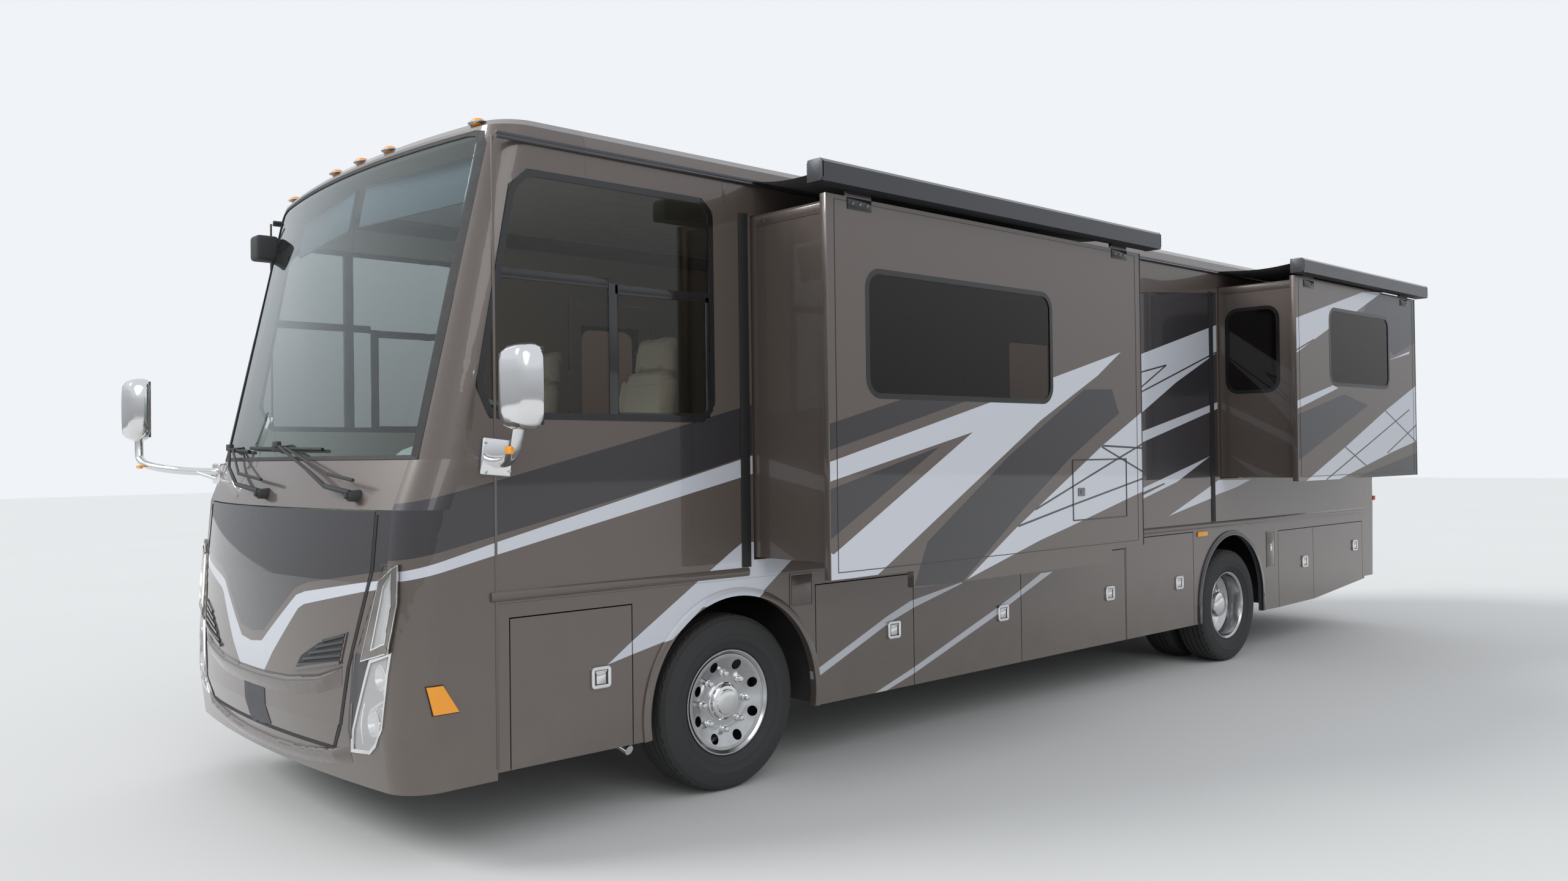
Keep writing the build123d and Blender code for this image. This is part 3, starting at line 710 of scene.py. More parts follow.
ROOM_SET = (
    Stripe(S, ((2.867, 1.624), (1.652, 1.925), (1.821, 1.762), (2.868, 1.533))),
    Stripe(S, ((1.652, 1.925), (1.091, 2.072), (1.213, 1.83), (1.821, 1.762))),
    Stripe(S, ((2.875, 1.186), (1.821, 1.762), (1.213, 1.83), (2.571, 1.071))),
    Stripe(S, ((2.895, 1.197), (2.571, 1.071), (2.895, 1.066))),
    Stripe(S, ((2.895, 1.618), (2.867, 1.624), (2.868, 1.533), (2.895, 1.526))),
    Stripe(S, ((1.091, 2.072), (0.378, 2.251), (0.633, 2.10), (1.213, 1.83))),
    Stripe(S, (
        (1.888, 0.993), (1.469, 1.232), (0.59, 1.686), (0.15, 1.888), (0.15, 1.398), (0.942, 1.221),
        (1.229, 1.161),
    )),
    line((1.276, 1.332), (0.413, 1.609)), line((0.413, 1.609), (0.15, 1.690)),
    line((1.438, 1.247), (0.928, 1.341)), line((0.928, 1.341), (0.15, 1.477)),
    line((0.601, 1.678), (0.15, 1.523)), line((0.59, 1.684), (0.15, 1.667)),
    Stripe(C, (
        (2.306, 0.992), (2.201, 1.207), (1.502, 1.639), (0.775, 2.014), (0.48, 2.022), (0.405, 1.88),
        (0.921, 1.621), (1.393, 1.337), (1.93, 0.981),
    )),
    Stripe(C, ((2.895, 1.795), (1.18, 2.217), (1.18, 2.095), (2.895, 1.672))),
    Stripe(C, ((2.895, 1.49), (2.10, 1.685), (2.895, 1.255))),
)
WALL_SET = (
    Stripe(C, ((0.14, 1.435), (-1.9, 1.447), (-1.9, 2.86), (0.14, 2.70))),
    Stripe(S, (
        (0.14, 2.10), (-0.757, 2.323), (-1.787, 2.582), (-1.9, 2.61), (-1.9, 2.396), (-1.779, 2.348),
        (-1.282, 2.149), (-0.758, 1.90), (0.14, 1.48),
    )),
    line((0.14, 1.78), (-1.9, 2.402)), line((-0.753, 2.198), (-1.146, 2.27)), line((-1.146, 2.27), (-0.1, 1.76)),
    Stripe(S, ((0.14, 1.59), (-0.956, 1.818), (-1.9, 2.015), (-1.9, 1.965), (0.14, 1.49))),
    Stripe(S, ((0.14, 1.18), (-0.759, 1.376), (-1.768, 1.599), (-1.269, 1.416), (0.14, 1.10))),
    line((0.14, 1.16), (-1.095, 1.409)), line((-1.095, 1.409), (0.14, 1.12)),
    Stripe(S, (
        (-1.154, 1.173), (-1.702, 1.348), (-1.896, 1.414), (-2.424, 1.406), (-2.168, 1.349), (-1.877, 1.306),
        (-1.773, 1.278),
    )),
)
REAR_ROOM_SET = (
    Stripe(S, (
        (-1.905, 2.609), (-3.136, 2.90), (-3.535, 2.934), (-3.016, 2.74), (-2.471, 2.563), (-1.905, 2.352),
    )),
    line((-1.905, 2.373), (-2.214, 2.469)),
    Stripe(S, ((-1.905, 2.0), (-2.538, 2.133), (-2.631, 2.114), (-1.905, 1.942))),
    Stripe(S, ((-3.651, 2.375), (-4.106, 2.471), (-4.106, 2.45))),
    Stripe(C, ((-1.905, 1.90), (-2.75, 2.07), (-3.2, 1.99), (-1.905, 1.56))),
    Stripe(C, ((-3.3, 2.925), (-4.228, 2.925), (-4.228, 2.55), (-3.75, 2.42), (-3.1, 2.69))),
    Stripe(C, ((-2.9, 1.41), (-4.228, 1.60), (-4.228, 1.41))),
    Stripe(S, (
        (-2.04, 1.41), (-2.783, 1.669), (-3.558, 1.953), (-4.228, 2.175), (-4.228, 1.70), (-3.684, 1.61),
        (-2.63, 1.41),
    )),
    line((-2.388, 1.41), (-4.08, 1.969)), line((-3.582, 1.603), (-4.228, 1.837)),
    line((-3.558, 1.953), (-4.228, 1.694)), line((-2.747, 1.657), (-3.146, 1.506)),
)
CAB_SET = (
    Stripe(S, (
        (3.759, 0.724), (3.629, 0.81), (3.234, 1.055), (3.016, 1.187), (2.954, 1.222), (2.60, 1.222),
        (2.60, 1.128), (2.872, 0.934), (3.02, 0.93), (3.22, 0.93), (3.403, 0.798), (3.624, 0.753),
    )),
    Stripe(S, (
        (4.86, 1.165), (4.737, 1.194), (4.316, 1.303), (2.88, 1.652), (2.88, 1.562), (4.317, 1.251),
        (4.86, 1.13),
    )),
    Stripe(C, (
        (4.86, 1.44), (4.676, 1.478), (4.278, 1.568), (3.509, 1.752), (2.88, 1.908), (2.88, 1.66),
        (3.555, 1.496), (4.316, 1.332), (4.86, 1.215),
    )),
)
SKIRT_SET = (
    Stripe(S, (
        (2.575, 0.489), (2.462, 0.524), (1.90, 0.751), (1.703, 0.818), (1.239, 0.888), (1.239, 0.88),
        (1.678, 0.778), (1.867, 0.721), (2.463, 0.481), (2.551, 0.451),
    )),
    Stripe(S, (
        (2.064, 0.326), (1.684, 0.44), (0.919, 0.698), (0.669, 0.788), (0.444, 0.878), (0.316, 0.879),
        (0.445, 0.833), (0.67, 0.752), (0.91, 0.66), (1.676, 0.408), (2.007, 0.318),
    )),
)
NOSE_SET = (
    Stripe(C, ((0.0, 0.874), (0.149, 0.892), (0.442, 1.10), (0.543, 1.13), (1.10, 1.207), (1.10, 1.45), (0.0, 1.45))),
    Stripe(S, (
        (1.11, 1.17), (0.95, 1.151), (0.529, 1.09), (0.454, 1.07), (0.128, 0.841), (0.0, 0.829),
        (0.0, 0.70), (0.155, 0.71), (0.477, 1.015), (0.527, 1.036), (0.949, 1.113), (1.11, 1.136),
    )),
)


@dataclass(frozen=True)
class RoomPaint(BodyPaint):
    """Paint of a slide-out room, whose awning case above a given height is black."""

    case_above: float = 2.9
    face_only: bool = True

    def inputs(self, w: Wiring) -> dict[str, object]:
        """Wires the body paint, then the black of the case.

        Args:
            w: the material's wiring.

        Returns:
            What the shader's sockets take.
        """
        given = super().inputs(w)
        case = w.math("GREATER_THAN", w.part(w.place(), "Z"), self.case_above)
        given["Base Color"] = w.mix(case, given["Base Color"], CASE_BLACK)
        return given


@dataclass(frozen=True)
class BronzePanel(BodyPaint):
    """Body paint of a panel that no stripe crosses."""

    name: str = "paint_plain_panel"
    middle: Point3 = (-3.0, 1.4, 2.2)


CHROME = Plain("chrome", "chrome", srgb(222, 224, 226), srgb(200, 203, 208), 0.1, 1.0, 500.0, 0.02, 0.0002)
POLISHED = Plain("polished_aluminium", "polished_wheel", srgb(206, 207, 208), srgb(176, 178, 180), 0.18, 1.0, 700.0,
                 0.05, 0.0002, dust=0.25, reach=1.6)
MIRROR = Plain("mirror_glass", "chrome", srgb(210, 214, 218), srgb(196, 200, 206), 0.09, 1.0, 300.0, 0.01, 0.0001)
BLACK_PLASTIC = Plain("black_plastic", "black_plastic", srgb(26, 26, 28), srgb(44, 44, 46), 0.45, 0.0, 1500.0, 0.12,
                      0.0004)
BLACK_TRIM = Plain("black_trim", "black_plastic", srgb(15, 15, 17), srgb(28, 28, 31), 0.22, 0.0, 900.0, 0.03, 0.0002,
                   coat=0.6)
SEAL_RUBBER = Plain("seal_rubber", "black_plastic", srgb(18, 18, 19), srgb(34, 34, 34), 0.62, 0.0, 900.0, 0.15,
                    0.0004, dust=0.2)
TYRE_RUBBER = Plain("tyre_rubber", "tyre_rubber", srgb(27, 27, 28), srgb(52, 51, 50), 0.7, 0.0, 700.0, 0.3, 0.0008,
                    dust=0.7, reach=1.0)
BLACK_STEEL = Plain("black_steel", "black_steel", srgb(26, 26, 27), srgb(50, 47, 44), 0.55, 0.3, 300.0, 0.2, 0.0006,
                    dust=0.6, reach=1.4)
CAST_IRON = Plain("cast_iron", "black_steel", srgb(52, 49, 46), srgb(84, 66, 52), 0.75, 0.4, 250.0, 0.5, 0.001,
                  dust=0.6, reach=1.2)
TRAY_PLASTIC = Plain("tray_plastic", "black_plastic", srgb(34, 34, 36), srgb(52, 52, 53), 0.6, 0.0, 500.0, 0.3,
                     0.0008, dust=0.3)
WHITE_SHROUD = Plain("white_shroud", "white_plastic", srgb(222, 222, 218), srgb(204, 203, 197), 0.4, 0.0, 900.0, 0.1,
                     0.0004)
LEATHER = Plain("seat_leather", "seat_leather", srgb(214, 205, 186), srgb(190, 178, 155), 0.5, 0.0, 330.0, 0.45,
                0.0008, cells=True)
DASH_VINYL = Plain("dash_vinyl", "floor_vinyl", srgb(186, 180, 162), srgb(166, 158, 140), 0.6, 0.0, 420.0, 0.4,
                   0.0006, cells=True)
VISOR_VINYL = Plain("visor_vinyl", "floor_vinyl", srgb(98, 98, 96), srgb(84, 84, 84), 0.6, 0.0, 420.0, 0.3, 0.0004,
                    cells=True)
WHEEL_LEATHER = Plain("wheel_leather", "seat_leather", srgb(48, 45, 43), srgb(66, 62, 58), 0.5, 0.0, 600.0, 0.4,
                      0.0004, cells=True)
CASE_ALUMINIUM = Plain("case_aluminium", "dark_paint", CASE_BLACK, srgb(40, 42, 48), 0.35, 0.5, 900.0, 0.05, 0.0002,
                       coat=0.4)
BRONZE_TRIM = Plain("bronze_trim", "body_paint", BRONZE, shaded(BRONZE, 0.9), 0.35, 0.3, 900.0, 0.03, 0.0002,
                    coat=1.0)
CHARCOAL_TRIM = Plain("charcoal_trim", "dark_paint", Tone.CHARCOAL.value, srgb(60, 59, 64), 0.3, 0.3, 900.0, 0.03,
                      0.0002, coat=1.0)
STEEL = Plain("bright_steel", "chrome", srgb(150, 150, 150), srgb(120, 118, 114), 0.35, 1.0, 500.0, 0.1, 0.0003)
BLANK_PANEL = Plain("blank_panel", "dark_paint", srgb(70, 70, 76), srgb(58, 58, 64), 0.5, 0.0, 900.0, 0.05, 0.0002)
LAMP_BOWL = Plain("lamp_bowl", "chrome", srgb(84, 88, 92), srgb(58, 60, 64), 0.2, 1.0, 60.0, 0.3, 0.004)
DARK_CHROME = Plain("dark_chrome", "chrome", srgb(156, 152, 146), srgb(128, 124, 118), 0.2, 1.0, 500.0, 0.03, 0.0002)
CASE_END = Plain("case_end", "dark_paint", srgb(92, 94, 98), srgb(78, 80, 84), 0.4, 0.4, 700.0, 0.05, 0.0002)
AMBER = Lens("amber_lens", "amber_lens", srgb(255, 130, 12))
RED = Lens("red_lens", "red_lens", srgb(190, 14, 12))
WHITE_LENS = Lens("white_lens", "lamp_glass", srgb(225, 228, 232), 60.0)
SMOKE_LENS = Lens("smoke_lens", "lamp_glass", srgb(140, 148, 156), 60.0)
SCREEN_GLASS = Glass("screen_glass", srgb(208, 224, 228))
CAB_GLASS = Glass("cab_glass", srgb(190, 187, 180))
ROOM_GLASS = Glass("room_glass", srgb(108, 92, 80))
LAMP_GLASS = Glass("lamp_glass", srgb(240, 244, 246))
AWNING_CLOTH = Cloth("awning_cloth", srgb(22, 22, 24))


def rectangle(low: Point2, high: Point2) -> list[Point2]:
    """Returns the corners of an upright box, in order."""
    return [low, (high[0], low[1]), high, (low[0], high[1])]


def into_scene(name: str, data: bpy.types.ID) -> bpy.types.Object:
    """Returns a new object of some data, linked into the scene.

    Args:
        name: the object's name.
        data: its mesh, curve, light or camera.

    Returns:
        The object.
    """
    made = bpy.data.objects.new(name, data)
    bpy.context.scene.collection.objects.link(made)
    return made


def into_mesh(name: str, work: bmesh.types.BMesh) -> bpy.types.Mesh:
    """Returns a mesh of some work, which ends there.

    Args:
        name: the mesh's name.
        work: the work.

    Returns:
        The mesh.
    """
    mesh = bpy.data.meshes.new(name)
    work.to_mesh(mesh)
    work.free()
    return mesh


def baked(holder: bpy.types.Object) -> bpy.types.Mesh:
    """Returns the mesh that an object's curve or modifiers give."""
    bpy.context.view_layer.update()
    return bpy.data.meshes.new_from_object(holder.evaluated_get(bpy.context.evaluated_depsgraph_get()))


def tree_of(nodes: Sequence[str]) -> BVHTree:
    """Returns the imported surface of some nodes, ready to be met by rays.

    Args:
        nodes: the nodes' names.

    Returns:
        The surface.
    """
    work = bmesh.new()
    for name in nodes:
        work.from_mesh(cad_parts[name].data)
    tree = BVHTree.FromBMesh(work)
    work.free()
    return tree


class Piece:
    """One new piece while it is being modelled."""

    def __init__(self) -> None:
        """Starts with an empty mesh."""
        self.bm = bmesh.new()

    def ease(self, verts: Iterable[bmesh.types.BMVert], width: float, segments: int = 2,
             sharper: float = 30.0) -> None:
        """Rounds the sharp edges between some vertices.

        Args:
            verts: the vertices of the shape.
            width: how far the rounding reaches from each edge.
            segments: how many faces it takes.
            sharper: the least angle, in degrees, of an edge that is rounded.
        """
        chosen = {v for v in verts if v.is_valid}
        edges = {e for v in chosen for e in v.link_edges if e.other_vert(v) in chosen}
        sharp = [e for e in edges if len(e.link_faces) == 2 and e.calc_face_angle(0.0) > math.radians(sharper)]
        bmesh.ops.bevel(
            self.bm, geom=sharp, offset=width, offset_type="OFFSET", segments=segments, profile=0.5,
            affect="EDGES", material=-1, clamp_overlap=True,
        )

    def block(self, low: Sequence[float], high: Sequence[float], ease: float = 0.0, segments: int = 2,
              place: Matrix | None = None) -> "Piece":
        """Adds a block with rounded edges.

        Args:
            low: one corner.
            high: the opposite corner.
            ease: the rounding of its edges.
            segments: how many faces the rounding takes.
            place: a turn or move to give the block.

        Returns:
            The piece itself.
        """
        verts = bmesh.ops.create_cube(self.bm, size=1.0)["verts"]
        first, second = Vector(low), Vector(high)
        size = Vector([abs(b - a) for a, b in zip(first, second)])
        bmesh.ops.scale(self.bm, vec=size, verts=verts)
        bmesh.ops.translate(self.bm, vec=(first + second) / 2, verts=verts)
        if place is not None:
            bmesh.ops.transform(self.bm, matrix=place, verts=verts)
        if ease:
            self.ease(verts, ease, segments)
        return self

    def rod(self, start: Sequence[float], end: Sequence[float], radius: float, end_radius: float | None = None,
            segments: int = 24, ease: float = 0.0) -> "Piece":
        """Adds a round bar, or a taper where the end has its own radius.

        Args:
            start: the middle of one end.
            end: the middle of the other end.
            radius: the radius at the start.
            end_radius: the radius at the end.
            segments: how many faces go round it.
            ease: the rounding of its end edges.

        Returns:
            The piece itself.
        """
        first, second = Vector(start), Vector(end)
        way = second - first
        turn_to = way.to_track_quat("Z", "Y").to_matrix().to_4x4()
        place = Matrix.Translation((first + second) / 2) @ turn_to
        last = radius if end_radius is None else end_radius
        verts = bmesh.ops.create_cone(
            self.bm, cap_ends=True, cap_tris=False, segments=segments, radius1=radius, radius2=last,
            depth=way.length, matrix=place,
        )["verts"]
        if ease:
            self.ease(verts, ease, 2, 50.0)
        return self

    def ball(self, middle: Sequence[float], radii: Sequence[float], segments: int = 16) -> "Piece":
        """Adds a rounded lump with three radii.

        Args:
            middle: its middle.
            radii: its radii along the three axes.
            segments: how many faces go round it.

        Returns:
            The piece itself.
        """
        verts = bmesh.ops.create_uvsphere(self.bm, u_segments=segments, v_segments=segments // 2, radius=1.0)["verts"]
        bmesh.ops.scale(self.bm, vec=Vector(radii), verts=verts)
        bmesh.ops.translate(self.bm, vec=Vector(middle), verts=verts)
        return self

    def prism(self, corners: Sequence[Sequence[float]], push: Sequence[float], ease: float = 0.0,
              segments: int = 2) -> "Piece":
        """Adds an outline pushed into a solid.

        Args:
            corners: the outline's corners, in order.
            push: how far and which way the outline is pushed.
            ease: the rounding of its edges.
            segments: how many faces the rounding takes.

        Returns:
            The piece itself.
        """
        face = self.bm.faces.new([self.bm.verts.new(corner) for corner in corners])
        base = list(face.verts)
        made = bmesh.ops.extrude_face_region(self.bm, geom=[face])["geom"]
        top = [v for v in made if isinstance(v, bmesh.types.BMVert)]
        bmesh.ops.translate(self.bm, vec=Vector(push), verts=top)
        self.bm.normal_update()
        if ease:
            self.ease(base + top, ease, segments)
        return self

    def turned(self, profile: Sequence[Point2], middle: Sequence[float], axis: Sequence[float],
               segments: int = 64, angle: float = 360.0, start: Sequence[float] = (0.0, 0.0, 1.0),
               closed: bool = True) -> "Piece":
        """Spins an outline about an axis.

        Args:
            profile: corners as distance along the axis and radius.
            middle: a point on the axis, where distance along it is 0.
            axis: the axis.
            segments: how many steps the spin takes.
            angle: how far it turns, in degrees.
            start: the direction from the axis in which the outline first lies.
            closed: joins the last corner to the first.

        Returns:
            The piece itself.
        """
        way, out, foot = Vector(axis).normalized(), Vector(start).normalized(), Vector(middle)
        verts = [self.bm.verts.new(foot + way * along + out * radius) for along, radius in profile]
        pairs = list(zip(verts, verts[1:])) + ([(verts[-1], verts[0])] if closed else [])
        edges = [self.bm.edges.new(pair) for pair in pairs]
        full = abs(angle - 360.0) < 1e-6
        bmesh.ops.spin(
            self.bm, geom=verts + edges, cent=foot, axis=way, dvec=(0, 0, 0), angle=math.radians(angle),
            steps=segments, use_merge=full, use_duplicate=False,
        )
        bmesh.ops.remove_doubles(self.bm, verts=self.bm.verts, dist=1e-6)
        if not full and closed:
            loose = [e for e in self.bm.edges if e.is_boundary]
            bmesh.ops.holes_fill(self.bm, edges=loose, sides=len(profile))
        return self

    def pipe(self, points: Sequence[Sequence[float]], radius: float, sides: int = 4, steps: int = 8) -> "Piece":
        """Adds a round pipe along a smooth line through some points.

        Args:
            points: the line's control points.
            radius: the pipe's radius.
            sides: how fine the pipe's section is.
            steps: how many pieces each run is cut into.

        Returns:
            The piece itself.
        """
        curve = bpy.data.curves.new("pipe_line", "CURVE")
        curve.dimensions = "3D"
        curve.bevel_depth = radius
        curve.bevel_resolution = sides
        curve.use_fill_caps = True
        curve.resolution_u = steps
        spline = curve.splines.new("NURBS")
        spline.points.add(len(points) - 1)
        for control, place in zip(spline.points, points):
            control.co = (*place, 1.0)
        spline.order_u = 3
        spline.use_endpoint_u = True
        holder = into_scene("pipe_line", curve)
        mesh = baked(holder)
        self.bm.from_mesh(mesh)
        bpy.data.objects.remove(holder)
        bpy.data.curves.remove(curve)
        bpy.data.meshes.remove(mesh)
        return self

    def ring(self, corners: Sequence[Sequence[float]], radius: float, width: float,
             push: Sequence[float], segments: int = 6) -> "Piece":
        """Adds a flat frame with rounded corners.

        Args:
            corners: the outer corners of the frame, in order.
            radius: the outer rounding of the corners.
            width: the width of the frame.
            push: how far and which way the frame gets its thickness.
            segments: how many edges each rounded corner takes.

        Returns:
            The piece itself.
        """
        before = set(self.bm.faces)
        face = self.bm.faces.new([self.bm.verts.new(corner) for corner in corners])
        if radius:
            bmesh.ops.bevel(
                self.bm, geom=list(face.verts), offset=radius, offset_type="OFFSET", segments=segments,
                profile=0.5, affect="VERTICES", material=-1, clamp_overlap=True,
            )
        inner = [f for f in self.bm.faces if f not in before]
        self.bm.normal_update()
        bmesh.ops.inset_region(self.bm, faces=inner, thickness=width, use_even_offset=True, use_boundary=True)
        band = [f for f in self.bm.faces if f not in before and f not in inner]
        bmesh.ops.delete(self.bm, geom=inner, context="FACES")
        made = bmesh.ops.extrude_face_region(self.bm, geom=band)["geom"]
        top = [v for v in made if isinstance(v, bmesh.types.BMVert)]
        bmesh.ops.translate(self.bm, vec=Vector(push), verts=top)
        return self

    def onto(self, corners: Sequence[Point2], skin: "Skin", lift: float, thick: float,
             step: float = 0.02, rise: Callable[[float, float], float] | None = None) -> "Piece":
        """Adds a convex patch that lies on a curved skin.

        Args:
            corners: the patch's corners, as place across and height.
            skin: the surface that the patch follows.
            lift: how far the patch stands off the surface.
            thick: its thickness behind that.
            step: the size of the cells that follow the curve.
            rise: gives how much further it stands off at a place across and a height.

        Returns:
            The piece itself.
        """
        flat = bmesh.new()
        lows = [min(c[i] for c in corners) for i in (0, 1)]
        highs = [max(c[i] for c in corners) for i in (0, 1)]
        counts = [max(1, round((highs[i] - lows[i]) / step)) for i in (0, 1)]
        bmesh.ops.create_grid(flat, x_segments=counts[0], y_segments=counts[1], size=0.5)
        bmesh.ops.scale(flat, vec=(highs[0] - lows[0], highs[1] - lows[1], 1), verts=flat.verts)
        bmesh.ops.translate(flat, vec=((lows[0] + highs[0]) / 2, (lows[1] + highs[1]) / 2, 0), verts=flat.verts)
        for nx, nz, offset in edge_vectors(corners)[:len(corners)]:
            bmesh.ops.bisect_plane(
                flat, geom=flat.verts[:] + flat.edges[:] + flat.faces[:], dist=1e-6,
                plane_co=(-nx * offset, -nz * offset, 0), plane_no=(nx, nz, 0), clear_inner=True,
            )
        made = bmesh.ops.extrude_face_region(flat, geom=flat.faces[:])["geom"]
        top = {v for v in made if isinstance(v, bmesh.types.BMVert)}
        for vert in flat.verts:
            deep = lift - thick
            if vert in top:
                deep = lift + (rise(vert.co.x, vert.co.y) if rise else 0.0)
            vert.co = skin.point(vert.co.x, vert.co.y, deep)
        return self.take(flat)

    def take(self, work: bmesh.types.BMesh) -> "Piece":
        """Adds what was modelled apart, and returns the piece itself.

        Args:
            work: what was modelled.

        Returns:
            The piece itself.
        """
        mesh = into_mesh("taken", work)
        self.bm.from_mesh(mesh)
        bpy.data.meshes.remove(mesh)
        return self

    def mesh(self, name: str) -> bpy.types.Mesh:
        """Returns the work as a mesh whose faces look outwards."""
        bmesh.ops.recalc_face_normals(self.bm, faces=self.bm.faces)
        return into_mesh(name, self.bm)

    def finish(self, name: str, finish: Finish, body: str = "coach", smooth: float = 35.0,
               slot: str = "") -> bpy.types.Object:
        """Turns the work into a finished object that rides on a body.

        Args:
            name: the piece's name.
            finish: what its surface is made of.
            body: the body that carries it.
            smooth: edges flatter than this angle, in degrees, are shaded smooth.
            slot: a material slot name, where it isn't the finish's own; not used.

        Returns:
            The object.
        """
        slot = slot or finish.slot
        bmesh.ops.remove_doubles(self.bm, verts=self.bm.verts, dist=2e-6)
        mesh = self.mesh(name)
        mesh.shade_smooth()
        mesh.set_sharp_from_angle(angle=math.radians(smooth))
        mesh.materials.append(finish.material())
        piece = into_scene(name, mesh)
        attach(piece, body)
        log.info("%s: %d faces on %s", name, len(mesh.polygons), body)
        return piece


class Way(Enum):
    """The ways in which a skin is met."""

    NOSE = (-1.0, 0.0, 0.0)
    TOP = (0.0, 0.0, -1.0)
    LEFT = (0.0, -1.0, 0.0)
    RIGHT = (0.0, 1.0, 0.0)


class Skin:
    """A packed surface that pieces are fitted to, met along one direction from a place well outside it."""

    ahead: float = 6.0
    above: float = 5.0
    beside: float = 3.0
    missed: float = 1.8

    def __init__(self, nodes: Sequence[str], way: Way) -> None:
        """Takes the surface and the way in.

        Args:
            nodes: the nodes that form the surface.
            way: the way in which it is met.
        """
        self.tree = tree_of(nodes)
        self.inward = Vector(way.value)

    def start(self, across: float, height: float) -> Vector:
        """Returns the place outside the surface from which it is met.

        Args:
            across: Y on the nose, X elsewhere.
            height: Z, or Y on top.

        Returns:
            The place.
        """
        if self.inward.x:
            return Vector((self.ahead, across, height))
        if self.inward.z:
            return Vector((across, height, self.above))
        return Vector((across, -self.beside * self.inward.y, height))

    def meet(self, across: float, height: float) -> tuple[float, Vector]:
        """Returns how far in the surface lies at a place, and its outward normal.

        Args:
            across: Y on the nose, X elsewhere.
            height: Z, or Y on top.

        Returns:
            The depth along the way in, and the normal.
        """
        _, normal, _, deep = self.tree.ray_cast(self.start(across, height), self.inward)
        if normal is None:
            return self.missed, -self.inward
        return deep, -normal if normal.dot(self.inward) > 0 else normal

    def point(self, across: float, height: float, lift: float = 0.0) -> Vector:
        """Returns the point of the surface there, lifted off it, bridging narrow gaps.

        Args:
            across: Y on the nose, X elsewhere.
            height: Z, or Y on top.
            lift: distance off the surface.

        Returns:
            The point.
        """
        deep, normal = self.meet(across, height)
        for step_across, step_up in ((0.006, 0.0), (-0.006, 0.0), (0.0, 0.006), (0.0, -0.006)):
            near, face = self.meet(across + step_across, height + step_up)
            if deep - near > 0.02:
                deep, normal = near, face
        return self.start(across, height) + self.inward * deep + normal * lift


def dress(node: str, finish: Finish) -> None:
    """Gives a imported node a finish."""
    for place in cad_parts[node].material_slots:
        place.material = finish.material()


@dataclass
class Studio:
    """Pale floor, soft light and the photographer's camera."""

    camera_place: Point3 = (6.8509, 5.7606, 1.6610)
    right: Point3 = (-0.73235, 0.68081, -0.01244)
    up: Point3 = (-0.00173, 0.01640, 0.99986)
    back: Point3 = (0.68092, 0.73227, -0.01084)
    lens: float = 27.6
    floor_size: float = 120.0
    sky: float = 0.92
    key_strength: float = 1.6

    def build(self) -> None:
        """Builds floor, world, lights and camera."""
        self.floor()
        self.world()
        self.lights()
        self.camera()
        log.info("studio ready")

    def floor(self) -> None:
        """Lays the floor just under the tyres."""
        bm = bmesh.new()
        bmesh.ops.create_grid(bm, x_segments=2, y_segments=2, size=self.floor_size / 2)
        mesh = into_mesh("studio_floor", bm)
        mesh.materials.append(StageCloth().material())
        floor = into_scene("studio_floor", mesh)

    def world(self) -> None:
        """Lights everything evenly from all round."""
        world = bpy.data.worlds.new("studio")
        world.use_nodes = True
        world.node_tree.nodes.clear()
        w = Wiring(world.node_tree)
        height = w.part(w.add("ShaderNodeTexCoord").outputs["Generated"], "Z")
        ramp = w.add("ShaderNodeValToRGB", {0: w.math("MULTIPLY_ADD", height, 0.5, 0.5)})
        stops = ((0.44, srgb(120, 120, 120)), (0.62, srgb(236, 240, 246)))
        for stop, (place, colour) in zip(ramp.color_ramp.elements, stops):
            stop.position, stop.color = place, colour
        soft = w.add("ShaderNodeBackground", {"Color": ramp.outputs[0], "Strength": self.sky})
        seen = w.add("ShaderNodeBackground", {"Color": srgb(240, 243, 247), "Strength": 1.0})
        path = w.add("ShaderNodeLightPath")
        mixed = w.add("ShaderNodeMixShader", {0: path.outputs["Is Camera Ray"], 1: soft.outputs[0], 2: seen.outputs[0]})
        w.add("ShaderNodeOutputWorld", {"Surface": mixed.outputs[0]})
        bpy.context.scene.world = world

    def lights(self) -> None:
        """Hangs one large soft lamp ahead on the kerb side and a weaker one on the driver's side."""
        lamps = (
            ("key_lamp", (9.0, -7.0, 8.5), self.key_strength, 22.0),
            ("fill_lamp", (4.0, 11.0, 8.0), 0.55, 40.0),
        )
        for name, place, strength, spread in lamps:
            light = bpy.data.lights.new(name, "SUN")
            light.energy = strength
            light.angle = math.radians(spread)
            lamp = into_scene(name, light)
            lamp.rotation_euler = Vector(place).to_track_quat("Z", "Y").to_euler()
            lamp.location = place

    def camera(self) -> None:
        """Stands the camera where the photographer stood."""
        data = bpy.data.cameras.new("camera")
        data.lens = self.lens
        data.sensor_width = 36.0
        data.clip_end = 400.0
        camera = into_scene("camera", data)
        turn_to = Matrix((self.right, self.up, self.back)).transposed().to_4x4()
        camera.matrix_world = Matrix.Translation(self.camera_place) @ turn_to
        bpy.context.scene.camera = camera
        bpy.context.scene.view_settings.view_transform = "Standard"


@dataclass(frozen=True)
class Room:
    """One slide-out room as the photograph shows it, travelled out."""

    name: str
    side: int
    ends: Point2
    levels: Point2
    face: float
    middle: Point3
    case_above: float
    window: tuple[Point2, Point2]


